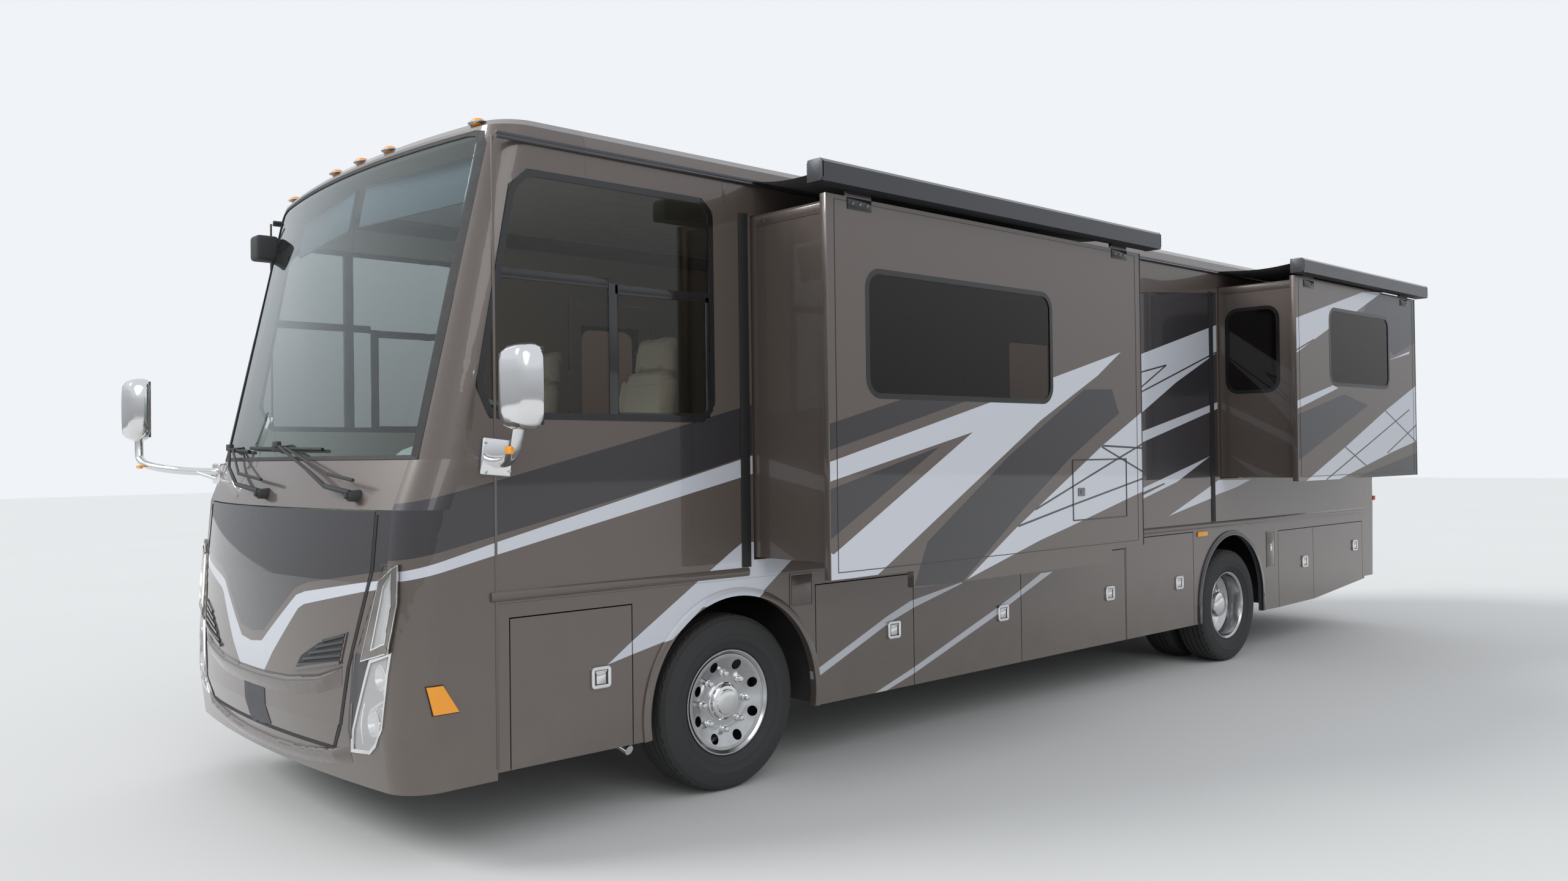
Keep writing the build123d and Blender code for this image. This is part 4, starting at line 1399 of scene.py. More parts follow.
ROOMS = (
    Room("front", 1, (0.150, 2.895), (1.068, 2.876), 1.812, (1.52, 1.4, 1.9), 2.89, ((1.089, 1.921), (2.635, 2.553))),
    Room("rear", 1, (-4.228, -1.905), (1.410, 2.925), 1.872, (-3.07, 1.4, 2.1), 2.931,
         ((-3.663, 2.130), (-2.480, 2.735))),
    Room("right", -1, (-1.900, 0.850), (1.068, 2.876), 1.872, (-0.54, -1.4, 1.9), 2.89,
         ((-1.300, 1.921), (0.300, 2.553))),
)


@dataclass
class PaintShop:
    """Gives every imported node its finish."""

    room_shift: float = -2.045

    def side_set(self, node: str) -> tuple[Stripe, ...]:
        """Returns the stripes that cross a panel, from its place along the vehicle.

        Args:
            node: the panel's node.

        Returns:
            The stripes.
        """
        low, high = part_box(node)
        kerb = low.y < 0 and high.y < 0.5
        every: list[Stripe] = []
        if node in ("slide_front", "slide_right"):
            every = [s.moved(self.room_shift if kerb else 0.0) for s in ROOM_SET]
        elif node == "slide_rear":
            every = list(REAR_ROOM_SET)
        elif kerb:
            every = list(CAB_SET + SKIRT_SET) if low.z < 1.0 else list(CAB_SET)
            every += [s.moved(2.80) for s in WALL_SET if node != "right_skirt"] if node != "bay_right_2" else []
            every += [s for s in REAR_ROOM_SET if node == "right_wall"]
        else:
            every = list(CAB_SET + SKIRT_SET + WALL_SET)
        return tuple(s for s in every if s.meets((low.x, low.z), (high.x, high.z)))

    def room_paint(self, room: Room) -> RoomPaint:
        """Returns the paint of a slide-out room."""
        node = "slide_" + room.name
        return RoomPaint("paint_" + node, self.side_set(node), middle=room.middle, case_above=room.case_above)

    def build(self) -> None:
        """Dresses the painted panels, then everything else."""
        bays = [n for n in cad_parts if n.startswith("bay_") and n != "bay_trays"]
        for node in ["left_wall", "right_wall", "left_skirt", "right_skirt", "entry_door", *bays]:
            lining = DOOR_LINER if node.startswith("bay") or node.endswith("skirt") else CABIN_WALL
            dress(node, BodyPaint("paint_" + node, self.side_set(node), lining=lining))
        for room in ROOMS:
            dress("slide_" + room.name, self.room_paint(room))
        dress("front_cap", BodyPaint("paint_front_cap", CAB_SET, NOSE_SET, middle=(2.6, 0.0, 1.6)))
        dress("front_hood", BodyPaint("paint_front_hood", (), NOSE_SET, middle=(2.6, 0.0, 1.2), lining=DOOR_LINER))
        dress("rear_cap", BodyPaint("paint_rear_cap", (), middle=(-2.0, 0.0, 1.8)))
        plain = {
            "windshield": SCREEN_GLASS, "side_windows": CAB_GLASS, "entry_glass": ROOM_GLASS,
            "slide_glass_front": ROOM_GLASS, "slide_glass_rear": ROOM_GLASS, "slide_glass_right": ROOM_GLASS,
            "headlamps": LAMP_GLASS, "marker_lamps": AMBER, "tail_lamps": RED, "roof": RoofSheet(),
            "roof_units": WHITE_SHROUD, "patio_awning": CASE_ALUMINIUM, "mirrors": CHROME, "wipers": BLACK_PLASTIC,
            "dashboard": DASH_VINYL, "steering_wheel": WHEEL_LEATHER, "seats": LEATHER, "floor_deck": FloorPlanks(),
            "chassis_frame": BLACK_STEEL, "bay_trays": TRAY_PLASTIC, "engine_block": CAST_IRON,
            "entry_step": BLACK_PLASTIC, "front_axle": CAST_IRON, "rear_axle": CAST_IRON,
            "knuckle_left": CAST_IRON, "knuckle_right": CAST_IRON,
        }
        for place in ("front_left", "front_right", "rear_left", "rear_right"):
            plain["rim_" + place] = POLISHED
            plain["tyre_" + place] = TYRE_RUBBER
        for node, finish in plain.items():
            dress(node, finish)
        log.info("dressed %d packed nodes", len(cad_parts))


@dataclass(frozen=True)
class Wheel:
    """One wheel or twin pair: its side, its axle's place and how far out its outer tyre's middle stands."""

    name: str
    side: int
    x: float
    middle: float
    twin: bool


@dataclass
class Wheels:
    """Tyres with grooves and polished rims with nuts and hubs, four sets of them."""

    front_middle: float = 1.089
    rear_middle: float = 1.113
    twin_step: float = 0.312
    steps: int = 96
    nuts: int = 8
    nut_circle: float = 0.1375
    hand_holes: int = 8
    hand_hole_reach: float = 0.190
    nut_tall: float = 0.034

    def build(self) -> None:
        """Builds the four wheels."""
        rows = (
            ("front_left", 1, FRONT_AXLE_X, self.front_middle, False),
            ("front_right", -1, FRONT_AXLE_X, self.front_middle, False),
            ("rear_left", 1, REAR_AXLE_X, self.rear_middle, True),
            ("rear_right", -1, REAR_AXLE_X, self.rear_middle, True),
        )
        for row in rows:
            wheel = Wheel(*row)
            self.tyre(wheel)
            self.rim(wheel)

    def tyre(self, wheel: Wheel) -> None:
        """Spins the tyres of one wheel, with tread grooves, shoulder notches and raised side rings.

        Args:
            wheel: the wheel.
        """
        half: list[Point2] = [
            (0.0, 0.433), (0.018, 0.433), (0.0195, 0.4235), (0.0265, 0.4235), (0.028, 0.4325), (0.056, 0.4318),
            (0.0575, 0.4225), (0.0645, 0.4225), (0.066, 0.4312), (0.090, 0.4290), (0.101, 0.4250), (0.108, 0.4180),
            (0.1145, 0.4080), (0.1175, 0.4060), (0.120, 0.3980), (0.1255, 0.3820), (0.1295, 0.3600),
            (0.1310, 0.3450), (0.1318, 0.3430), (0.1318, 0.3400), (0.1305, 0.3380), (0.1290, 0.3250),
            (0.1250, 0.3080), (0.1262, 0.3060), (0.1255, 0.3030), (0.1232, 0.3020), (0.1130, 0.2850),
            (0.1060, 0.2740), (0.1035, 0.2680), (0.0960, 0.2640), (0.0900, 0.2490), (0.080, 0.2486),
        ]
        profile = half + [(-a, r) for a, r in reversed(half) if a > 0]
        rows = [wheel.middle, wheel.middle - self.twin_step] if wheel.twin else [wheel.middle]
        piece = Piece()
        for place in rows:
            piece.turned(profile, (wheel.x, wheel.side * place, AXLE_Z), (0, wheel.side, 0), self.steps)
        shoulders = []
        for face in piece.bm.faces:
            centre = face.calc_center_median()
            radius = math.hypot(centre.x - wheel.x, centre.z - AXLE_Z)
            step = math.atan2(centre.z - AXLE_Z, centre.x - wheel.x) / math.tau * self.steps
            offsets = [abs(abs(centre.y) - row) for row in rows]
            if 0.4265 < radius < 0.4303 and 0.09 < min(offsets) < 0.10 and int(step + 400.5) % 2 == 0:
                shoulders.append(face)
        bmesh.ops.inset_individual(piece.bm, faces=shoulders, thickness=0.002, depth=0.0)
        hub = Vector((wheel.x, 0.0, AXLE_Z))
        for face in shoulders:
            out = face.calc_center_median() - hub
            out.y = 0.0
            bmesh.ops.translate(piece.bm, vec=out.normalized() * -0.006, verts=face.verts)
        name = wheel.name
        tyre = piece.finish("road_tyre_" + name, TYRE_RUBBER, "wheel_" + name, smooth=28.0)
        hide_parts("tyre_" + name)

    def rim(self, wheel: Wheel) -> None:
        """Builds the polished disc, its nuts and hub, and the inner twin rim.

        Args:
            wheel: the wheel.
        """
        foot = (wheel.x, wheel.side * wheel.middle, AXLE_Z)
        way = (0, wheel.side, 0)
        piece = Piece()
        barrel: list[Point2] = [
            (-0.102, 0.260), (-0.094, 0.260), (-0.092, 0.247), (-0.060, 0.244), (-0.030, 0.238), (0.030, 0.238),
            (0.060, 0.244), (0.090, 0.247), (0.093, 0.2595), (0.0985, 0.2605), (0.102, 0.258), (0.1015, 0.252),
            (0.092, 0.240), (0.060, 0.236), (-0.060, 0.232), (-0.102, 0.245),
        ]
        piece.turned(barrel, foot, way, self.steps)
        if wheel.twin:
            disc: list[Point2] = [
                (-0.058, 0.060), (-0.058, 0.172), (-0.050, 0.196), (-0.034, 0.222), (-0.020, 0.237),
                (-0.012, 0.237), (-0.026, 0.215), (-0.042, 0.190), (-0.048, 0.170), (-0.048, 0.060),
            ]
            piece.turned(disc, foot, way, self.steps)
            inner = (wheel.x, wheel.side * (wheel.middle - self.twin_step), AXLE_Z)
            piece.turned(barrel, inner, way, self.steps)
            piece.turned([(0.022, 0.15), (0.022, 0.237), (0.030, 0.237), (0.252, 0.198), (0.252, 0.15)], inner, way, 48)
        else:
            disc = [
                (0.052, 0.050), (0.052, 0.120), (0.062, 0.150), (0.078, 0.205), (0.086, 0.237), (0.094, 0.237),
                (0.0935, 0.222), (0.090, 0.214), (0.082, 0.196), (0.069, 0.160), (0.063, 0.148), (0.060, 0.120),
                (0.060, 0.050),
            ]
            piece.turned(disc, foot, way, self.steps)
        name = wheel.name
        rim = piece.finish("road_rim_" + name, POLISHED, "wheel_" + name, smooth=30.0)
        if not wheel.twin:
            self.drill(rim, wheel)
        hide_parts("rim_" + name)
        self.hub(wheel)

    def drill(self, rim: bpy.types.Object, wheel: Wheel) -> None:
        """Cuts the round hand holes through the front disc.

        Args:
            rim: the finished rim.
            wheel: the wheel.
        """
        bits = Piece()
        for number in range(self.hand_holes):
            angle = math.tau * (number + 0.5) / self.hand_holes
            cx = wheel.x + self.hand_hole_reach * math.cos(angle)
            cz = AXLE_Z + self.hand_hole_reach * math.sin(angle)
            bits.rod((cx, wheel.side * (wheel.middle + 0.03), cz), (cx, wheel.side * (wheel.middle + 0.13), cz), 0.026,
                     segments=24)
        tool = into_scene("hand_hole_bits", bits.mesh("hand_hole_bits"))
        cutter = rim.modifiers.new("hand_holes", "BOOLEAN")
        cutter.operation = "DIFFERENCE"
        cutter.object = tool
        cutter.solver = "EXACT"
        done = baked(rim)
        rim.modifiers.clear()
        rim.data = done
        done.shade_smooth()
        done.set_sharp_from_angle(angle=math.radians(30))
        bpy.data.objects.remove(tool)

    def hub(self, wheel: Wheel) -> None:
        """Builds the chrome hub cover and the nut covers.

        Args:
            wheel: the wheel.
        """
        foot = (wheel.x, wheel.side * wheel.middle, AXLE_Z)
        way = (0, wheel.side, 0)
        piece = Piece()
        face = -0.048 if wheel.twin else 0.060
        if wheel.twin:
            cover: list[Point2] = [
                (face, 0.0), (face, 0.112), (face + 0.008, 0.112), (face + 0.016, 0.104), (0.028, 0.098),
                (0.042, 0.092), (0.050, 0.076), (0.054, 0.040), (0.0555, 0.0),
            ]
        else:
            cover = [
                (face, 0.0), (face, 0.094), (face + 0.006, 0.094), (face + 0.009, 0.088), (0.083, 0.084),
                (0.088, 0.078), (0.0895, 0.064), (0.095, 0.060), (0.0975, 0.046), (0.098, 0.020), (0.098, 0.0),
            ]
        piece.turned(cover, foot, way, 48)
        for number in range(self.nuts):
            angle = math.tau * number / self.nuts
            cx, cz = wheel.x + self.nut_circle * math.cos(angle), AXLE_Z + self.nut_circle * math.sin(angle)
            at_face = wheel.side * (wheel.middle + face)
            seat, top = at_face + wheel.side * 0.008, at_face + wheel.side * self.nut_tall
            piece.rod((cx, at_face - wheel.side * 0.003, cz), (cx, seat, cz), 0.021, 0.020, 20, 0.002)
            piece.rod((cx, seat, cz), (cx, top, cz), 0.0165, 0.0145, 6, 0.003)
            piece.ball((cx, top, cz), (0.0125, 0.004, 0.0125), 12)
        piece.finish("hub_and_nuts_" + wheel.name, CHROME, "wheel_" + wheel.name, smooth=30.0)


@dataclass
class BayLatches:
    """Chrome paddle latches on the luggage doors."""

    width: float = 0.104
    height: float = 0.098
    proud: float = 0.014
    places: tuple[tuple[str, int, float, float], ...] = (
        ("bay_left_1", 1, 3.801, 0.673), ("bay_left_2", 1, 1.851, 0.673), ("bay_left_3", 1, 0.853, 0.667),
        ("bay_left_4", 1, -0.342, 0.682), ("bay_left_5", 1, -1.270, 0.678), ("bay_left_6", 1, -3.374, 0.687),
        ("bay_left_7", 1, -4.417, 0.762), ("bay_right_1", -1, 3.801, 0.673), ("bay_right_2", -1, 0.290, 0.673),
        ("bay_right_3", -1, -1.270, 0.678), ("bay_right_4", -1, -4.417, 0.762),
    )

    def build(self) -> None:
        """Builds a latch on each door: frame, dish and paddle."""
        for door, side, x, z in self.places:
            skin = side * SIDE_Y
            w, h = self.width / 2, self.height / 2
            frame_piece = Piece()
            corners = [(a, skin, b) for a, b in rectangle((x - w, z - h), (x + w, z + h))]
            frame_piece.ring(corners, 0.018, 0.017, (0, side * self.proud, 0))
            frame_piece.ease(frame_piece.bm.verts, 0.003, 2)
            frame_piece.block((x - 0.026, skin, z - 0.030), (x + 0.026, skin + side * 0.010, z + 0.024), 0.006)
            frame_piece.rod((x - 0.030, skin + side * 0.006, z + 0.026), (x + 0.030, skin + side * 0.006, z + 0.026),
                            0.005, segments=12)
            frame_piece.finish("latch_" + door, CHROME, door)
            dish = Piece()
            dish.block((x - w + 0.012, skin - side * 0.001, z - h + 0.012),
                       (x + w - 0.012, skin + side * 0.004, z + h - 0.012), 0.001)
            dish.finish("latch_dish_" + door, BLACK_TRIM, door)


@dataclass
class Seams:
    """Belt moulding, arch flares, gutters, seal strips that also carry painted shade, and small side hatches."""

    belt_low: float = 1.055
    belt_high: float = 1.098
    flare_out: float = 0.014
    flare_wide: float = 0.038
    front_opening: float = 0.532
    rear_opening: float = 0.497
    rear_arch_z: float = 0.485
    skirt_foot: float = 0.345

    def build(self) -> None:
        """Builds every strip on the fixed sides."""
        self.belt()
        self.flares()
        self.gutters()
        self.wall_seams()
        self.hatches()

    def belt(self) -> None:
        """Builds the belt moulding in its runs between doors and rooms."""
        runs = {1: ((2.915, 4.341), (-4.635, 0.13)), -1: ((2.372, 4.341), (0.875, 1.648), (-4.635, -1.925))}
        piece = Piece()
        for side, spans in runs.items():
            for start, end in spans:
                corners = [
                    (start, side * SIDE_Y, self.belt_low), (start, side * (SIDE_Y + 0.010), self.belt_low + 0.006),
                    (start, side * (SIDE_Y + 0.013), self.belt_low + 0.022),
                    (start, side * (SIDE_Y + 0.010), self.belt_high - 0.006), (start, side * SIDE_Y, self.belt_high),
                ]
                piece.prism(corners, (end - start, 0, 0))
        piece.finish("belt_moulding", BRONZE_TRIM, smooth=50.0)

    def flare_section(self, inner: float) -> list[Point2]:
        """Returns the outline of a flare whose opening has a given radius."""
        out, wide = self.flare_out, self.flare_wide
        return [(-0.002, inner), (out, inner), (out, inner + 0.026), (out * 0.6, inner + wide), (-0.002, inner + wide)]

    def flares(self) -> None:
        """Spins a rounded flare round each wheel arch and closes it down the straight sides."""
        piece = Piece()
        dark = Piece()
        for side in SIDES:
            drop = math.degrees(math.asin((AXLE_Z - self.skirt_foot) / 0.55))
            start = (math.cos(math.radians(-drop)), 0, math.sin(math.radians(-drop)))
            piece.turned(self.flare_section(self.front_opening), (FRONT_AXLE_X, side * SIDE_Y, AXLE_Z), (0, side, 0),
                         48, -side * (180 + 2 * drop), start)
            dark.turned(self.flare_section(self.rear_opening), (REAR_AXLE_X, side * SIDE_Y, self.rear_arch_z),
                        (0, side, 0), 48, -side * 180, (1, 0, 0))
            for end in (1, -1):
                x = REAR_AXLE_X + end * self.rear_opening
                low, high = sorted((x, x + end * self.flare_wide))
                dark.block((low, side * (SIDE_Y - 0.002), self.skirt_foot),
                           (high, side * (SIDE_Y + self.flare_out), self.rear_arch_z), 0.004)
        piece.finish("front_arch_flares", BodyPaint("paint_front_flares", CAB_SET), smooth=40.0)
        dark.finish("rear_arch_flares", CHARCOAL_TRIM, smooth=40.0)

    def gutters(self) -> None:
        """Runs the awning rail and drip gutter along the foot of the roof edge."""
        piece = Piece()
        for side in SIDES:
            y = side * SIDE_Y
            spans = ((-4.62, 4.30),) if side > 0 else ((-4.62, 0.955), (3.905, 4.30))
            for start, end in spans:
                piece.block((start, y, 3.016), (end, y + side * 0.012, 3.034), 0.003)
                piece.rod((start, y + side * 0.010, 3.010), (end, y + side * 0.010, 3.010), 0.008, segments=12)
        piece.finish("roof_gutters", CHARCOAL_TRIM, smooth=40.0)

    def wall_seams(self) -> None:
        """Lays thin cover strips on the wall joints, and black seal strips beside the rooms that also stand for painted
        shade in those corners.
        """
        strips = Piece()
        for side in SIDES:
            y = side * (SIDE_Y - 0.001)
            for x in (4.314, 3.05) if side > 0 else (4.314, 3.05, 2.50):
                low = 1.10 if x < 4.3 else 0.36
                strips.block((x - 0.006, y, max(low, 2.905) if x == 3.05 and side > 0 else low),
                             (x + 0.006, y + side * 0.0035, 3.012), 0.001)
        strips.finish("wall_joint_strips", BRONZE_TRIM)
        # the black strip ahead of each room is a seal widened to take in the corner's shade: partly painted shade
        seal_and_shade = Piece()
        for x in (-1.81, 2.928):
            seal_and_shade.block((x - 0.030, SIDE_Y, 1.10), (x + 0.030, SIDE_Y + 0.005, 2.86), 0.002)
        seal_and_shade.finish("room_seal_and_shade_strips", SEAL_RUBBER)

    def hatches(self) -> None:
        """Builds the fuel flap and the narrow hatch behind the rear arch."""
        piece = Piece()
        for low, high in (((2.474, 0.869), (2.637, 1.044)), ((-2.823, 0.685), (-2.679, 0.977))):
            y = SIDE_Y
            piece.ring([(x, y, z) for x, z in rectangle(low, high)], 0.008, 0.008, (0, 0.004, 0), 3)
            piece.block((low[0] + 0.011, y, low[1] + 0.011), (high[0] - 0.011, y + 0.004, high[1] - 0.011), 0.002)
        piece.finish("side_hatches", BRONZE_TRIM)
        catch = Piece()
        catch.block((-2.765, SIDE_Y + 0.003, 0.815), (-2.735, SIDE_Y + 0.010, 0.875), 0.004)
        catch.finish("hatch_catch", CHROME)


@dataclass
class Windows:
    """Rounded black rims, corner plates and the slider rails of the windows."""

    radius: float = 0.10
    rim: float = 0.027

    def rim_and_corners(self, name: str, body: str, plane: Callable[[float, float, float], Point3], low: Point2,
                        high: Point2, paint: Finish) -> None:
        """Frames one window.

        Args:
            name: the window's name.
            body: the body that carries it.
            plane: turns place along, height and distance off the panel into a point.
            low: the window's lower corner.
            high: its upper corner.
            paint: the finish of the panel round it.
        """
        ring = Piece()
        corners = rectangle(low, high)
        push = Vector(plane(0, 0, 0.004)) - Vector(plane(0, 0, 0.0))
        ring.ring([plane(a, b, -0.003) for a, b in corners], self.radius, self.rim, push, 8)
        ring.finish("rim_of_" + name, BLACK_TRIM, body)
        plates = Piece()
        for (a, b), (da, db) in zip(corners, ((1, 1), (-1, 1), (-1, -1), (1, -1))):
            arc = [(a, b)]
            for number in range(9):
                angle = math.radians(90 * number / 8)
                arc.append((a + da * self.radius * (1 - math.sin(angle)), b + db * self.radius * (1 - math.cos(angle))))
            plates.prism([plane(p, q, -0.0035) for p, q in arc], push * 0.95)
        plates.finish("corners_of_" + name, paint, body)

    def build(self) -> None:
        """Frames every window."""
        shop = PaintShop()
        for room in ROOMS:
            self.rim_and_corners(
                "room_window_" + room.name, "slideout_" + room.name,
                lambda a, b, off, s=room.side, f=room.face: (a, s * (f + off), b), *room.window, shop.room_paint(room),
            )
        self.rim_and_corners(
            "end_window", "slideout_rear", lambda a, b, off: (-1.935 + off, a, b), (1.311, 2.072), (1.737, 2.727),
            BronzePanel(),
        )
        self.rim_and_corners(
            "bedroom_window", "coach", lambda a, b, off: (a, -(SIDE_Y + off), b), (-3.700, 2.130), (-2.600, 2.735),
            BodyPaint("paint_right_wall", shop.side_set("right_wall")),
        )
        self.rim_and_corners(
            "entry_window", "entry", lambda a, b, off: (a, -(SIDE_Y + off), b), (1.775, 1.640), (2.255, 2.560),
            BodyPaint("paint_entry_door", shop.side_set("entry_door")),
        )
        self.cab_windows()

    def cab_windows(self) -> None:
        """Builds the black band, divider and rails of the two cab side windows."""
        outline = (
            (4.401, 1.954), (4.339, 1.822), (3.192, 1.815), (3.118, 1.882), (3.120, 2.840), (3.189, 2.900),
            (4.150, 2.897), (4.234, 2.820),
        )
        for side in SIDES:
            name = SIDE_NAMES[side]
            band = Piece()
            band.ring([(x, side * (SIDE_Y - 0.004), z) for x, z in outline], 0.044, 0.030, (0, side * 0.006, 0), 5)
            rails = (
                ((3.682, 1.830), (3.732, 2.440)), ((3.732, 2.418), (4.30, 2.462)), ((3.140, 2.394), (3.700, 2.438)),
                ((3.150, 1.838), (3.68, 1.858)), ((3.150, 1.838), (3.172, 2.42)),
            )
            for low, high in rails:
                band.block((low[0], side * (SIDE_Y - 0.005), low[1]), (high[0], side * (SIDE_Y + 0.001), high[1]),
                           0.002)
            band.finish("cab_window_frame_" + name, BLACK_TRIM)


@dataclass
class Nose:
    """Lamps, vents, blank plate recess, lips and fillers of the front."""

    blade_outer: tuple[Point2, ...] = (
        (1.170, 1.234), (1.070, 1.165), (0.988, 0.838), (1.153, 0.884), (1.177, 1.080),
    )
    blade_inner: tuple[Point2, ...] = (
        (1.146, 1.200), (1.096, 1.138), (1.043, 0.880), (1.131, 0.914), (1.154, 1.072),
    )
    lower_outer: tuple[Point2, ...] = (
        (1.026, 0.845), (1.160, 0.884), (1.127, 0.577), (1.074, 0.497), (1.026, 0.461), (0.888, 0.452),
    )
    lower_inner: tuple[Point2, ...] = (
        (1.036, 0.831), (1.148, 0.868), (1.115, 0.583), (1.066, 0.511), (1.020, 0.476), (0.906, 0.468),
    )
    vent: tuple[Point2, ...] = ((0.481, 0.761), (0.526, 0.815), (0.664, 0.882), (0.868, 0.942), (0.835, 0.823))
    ridge: tuple[Point2, ...] = ((0.0, 0.703), (0.16, 0.703), (0.403, 0.711), (0.67, 0.744), (0.847, 0.793))
    hood_edge: tuple[Point2, ...] = (
        (1.000, 1.430), (1.000, 1.200), (0.885, 0.800), (0.830, 0.560), (0.747, 0.456), (0.0, 0.456),
    )
    strip_width: float = 0.016
    chin: tuple[Point2, ...] = ((0.0, 0.402), (0.20, 0.403), (0.456, 0.413), (0.70, 0.440), (0.88, 0.472))

    def build(self) -> None:
        """Builds everything on the front."""
        self.skin = Skin(["front_cap", "front_hood", "headlamps", "windshield"], Way.NOSE)
        self.groove()
        self.fillers()
        self.blades()
        self.headlights()
        self.vents()
        self.lips()

    def band(self, piece: Piece, outer: Sequence[Point2], inner: Sequence[Point2], side: int, lift: float,
             thick: float) -> None:
        """Adds a frame between two outlines with matching corners, on the nose's skin.

        Args:
            piece: the piece that it goes into.
            outer: the outer outline.
            inner: the inner outline.
            side: the side of the nose.
            lift: how far it stands off the nose.
            thick: its thickness.
        """
        count = len(outer)
        for i in range(count):
            j = (i + 1) % count
            corners = [outer[i], outer[j], inner[j], inner[i]]
            piece.onto([(side * y, z) for y, z in corners], self.skin, lift, thick)

    def patch(self, piece: Piece, corners: Sequence[Point2], side: int, lift: float, thick: float) -> None:
        """Adds a convex patch on one side of the nose's skin."""
        piece.onto([(side * y, z) for y, z in corners], self.skin, lift, thick)

    def groove(self) -> None:
        """Lays a black strip round the hood's sides and foot, over the shut gap: painted shade that makes the groove
        look darker and wider.
        """
        strip = Piece()
        # black strip along the hood's edge: painted shade of the shut groove
        for side in SIDES:
            for (y0, z0), (y1, z1) in zip(self.hood_edge, self.hood_edge[1:]):
                across = Vector((z0 - z1, y1 - y0)).normalized() * self.strip_width
                strip.onto([(side * y0, z0), (side * (y0 + across.x), z0 + across.y),
                            (side * (y1 + across.x), z1 + across.y), (side * y1, z1)], self.skin, 0.0025, 0.005)
        strip.finish("hood_groove_shade_strip", SEAL_RUBBER)

    def fillers(self) -> None:
        """Closes the strips between the lamp openings and the lamps; the charcoal filler beside each lower lamp is
        painted shade on a bronze column.
        """
        painted, dark = Piece(), Piece()
        for side in SIDES:
            self.patch(painted, ((1.030, 1.232), (1.130, 1.232), (1.010, 0.836), (0.918, 0.846)), side, 0.0008, 0.004)
            # charcoal filler beside the lower lamp: painted shade in place of the bronze there
            self.patch(dark, ((0.922, 0.872), (1.040, 0.842), (0.905, 0.452), (0.880, 0.446)), side, 0.0012, 0.012)
        painted.finish("lamp_side_fillers", BodyPaint("paint_front_cap"))
        dark.finish("lamp_foot_shade_fillers", CHARCOAL_TRIM)

    def blades(self) -> None:
        """Builds the tall upper lamps with their bright frames."""
        frames, edges, bowls, bars, covers = Piece(), Piece(), Piece(), Piece(), Piece()
        rim = ((1.140, 1.190), (1.102, 1.136), (1.052, 0.890), (1.128, 0.920), (1.150, 1.072))
        slot = ((1.138, 1.150), (1.124, 1.110), (1.094, 0.918), (1.125, 0.928), (1.146, 1.070))
        for side in SIDES:
            self.band(frames, self.blade_outer, self.blade_inner, side, 0.016, 0.020)
            self.band(edges, self.blade_inner, rim, side, 0.019, 0.010)
            inside = [(y - 0.004, z - 0.006) for y, z in self.blade_outer]
            self.band(edges, self.blade_outer, inside, side, 0.018, 0.006)
            self.patch(bowls, self.blade_inner, side, 0.0025, 0.012)
            self.patch(bars, slot, side, 0.010, 0.007)
            self.patch(covers, self.blade_inner, side, 0.014, 0.002)
        lamp = frames.finish("upper_lamp_frames", DARK_CHROME)
        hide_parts("headlamps")
        edges.finish("upper_lamp_edges", CHROME)
        bowls.finish("upper_lamp_bowls", BLACK_TRIM)
        bars.finish("upper_lamp_bars", SMOKE_LENS)
        covers.finish("upper_lamp_covers", LAMP_GLASS)

    def headlights(self) -> None:
        """Builds the lower lamps: lip, bowl, two projectors each and a clear cover."""
        lips, bowls, rings, bulbs, covers = Piece(), Piece(), Piece(), Piece(), Piece()
        back = ((0.960, 0.885), (1.165, 0.885), (1.150, 0.560), (1.040, 0.445), (0.885, 0.440))
        for side in SIDES:
            self.band(lips, self.lower_outer, self.lower_inner, side, 0.006, 0.008)
            self.band(bowls, self.lower_inner, [(y * 0.996 + 0.004, z * 0.99 + 0.0065) for y, z in self.lower_inner],
                      side, -0.004, 0.050)
            self.patch(bowls, back, side, -0.055, 0.004)
            self.patch(covers, self.lower_inner, side, 0.002, 0.003)
            for level in (0.665, 0.690):
                low = ((1.010, level - 0.060), (1.120, level), (1.124, level + 0.012), (1.010, level - 0.048))
                self.patch(rings, low, side, -0.020, 0.016)
            for y, z, radius in ((1.082, 0.775, 0.045), (1.045, 0.590, 0.048)):
                spot = self.skin.point(side * y, z)
                foot = (spot.x - 0.012, side * y, z)
                rings.turned([(-0.04, radius * 0.5), (-0.002, radius), (0.006, radius + 0.003), (0.006, radius + 0.009),
                              (-0.004, radius + 0.010), (-0.045, radius * 0.6)], foot, (1, 0, 0), 40)
                bulbs.ball((foot[0] - 0.024, foot[1], z), (0.020, radius * 0.62, radius * 0.62), 24)
        lips.finish("headlight_lips", CHROME)
        bowls.finish("headlight_bowls", LAMP_BOWL)
        rings.finish("headlight_rings", CHROME)
        bulbs.finish("headlight_bulbs", LAMP_GLASS)
        covers.finish("headlight_covers", LAMP_GLASS)

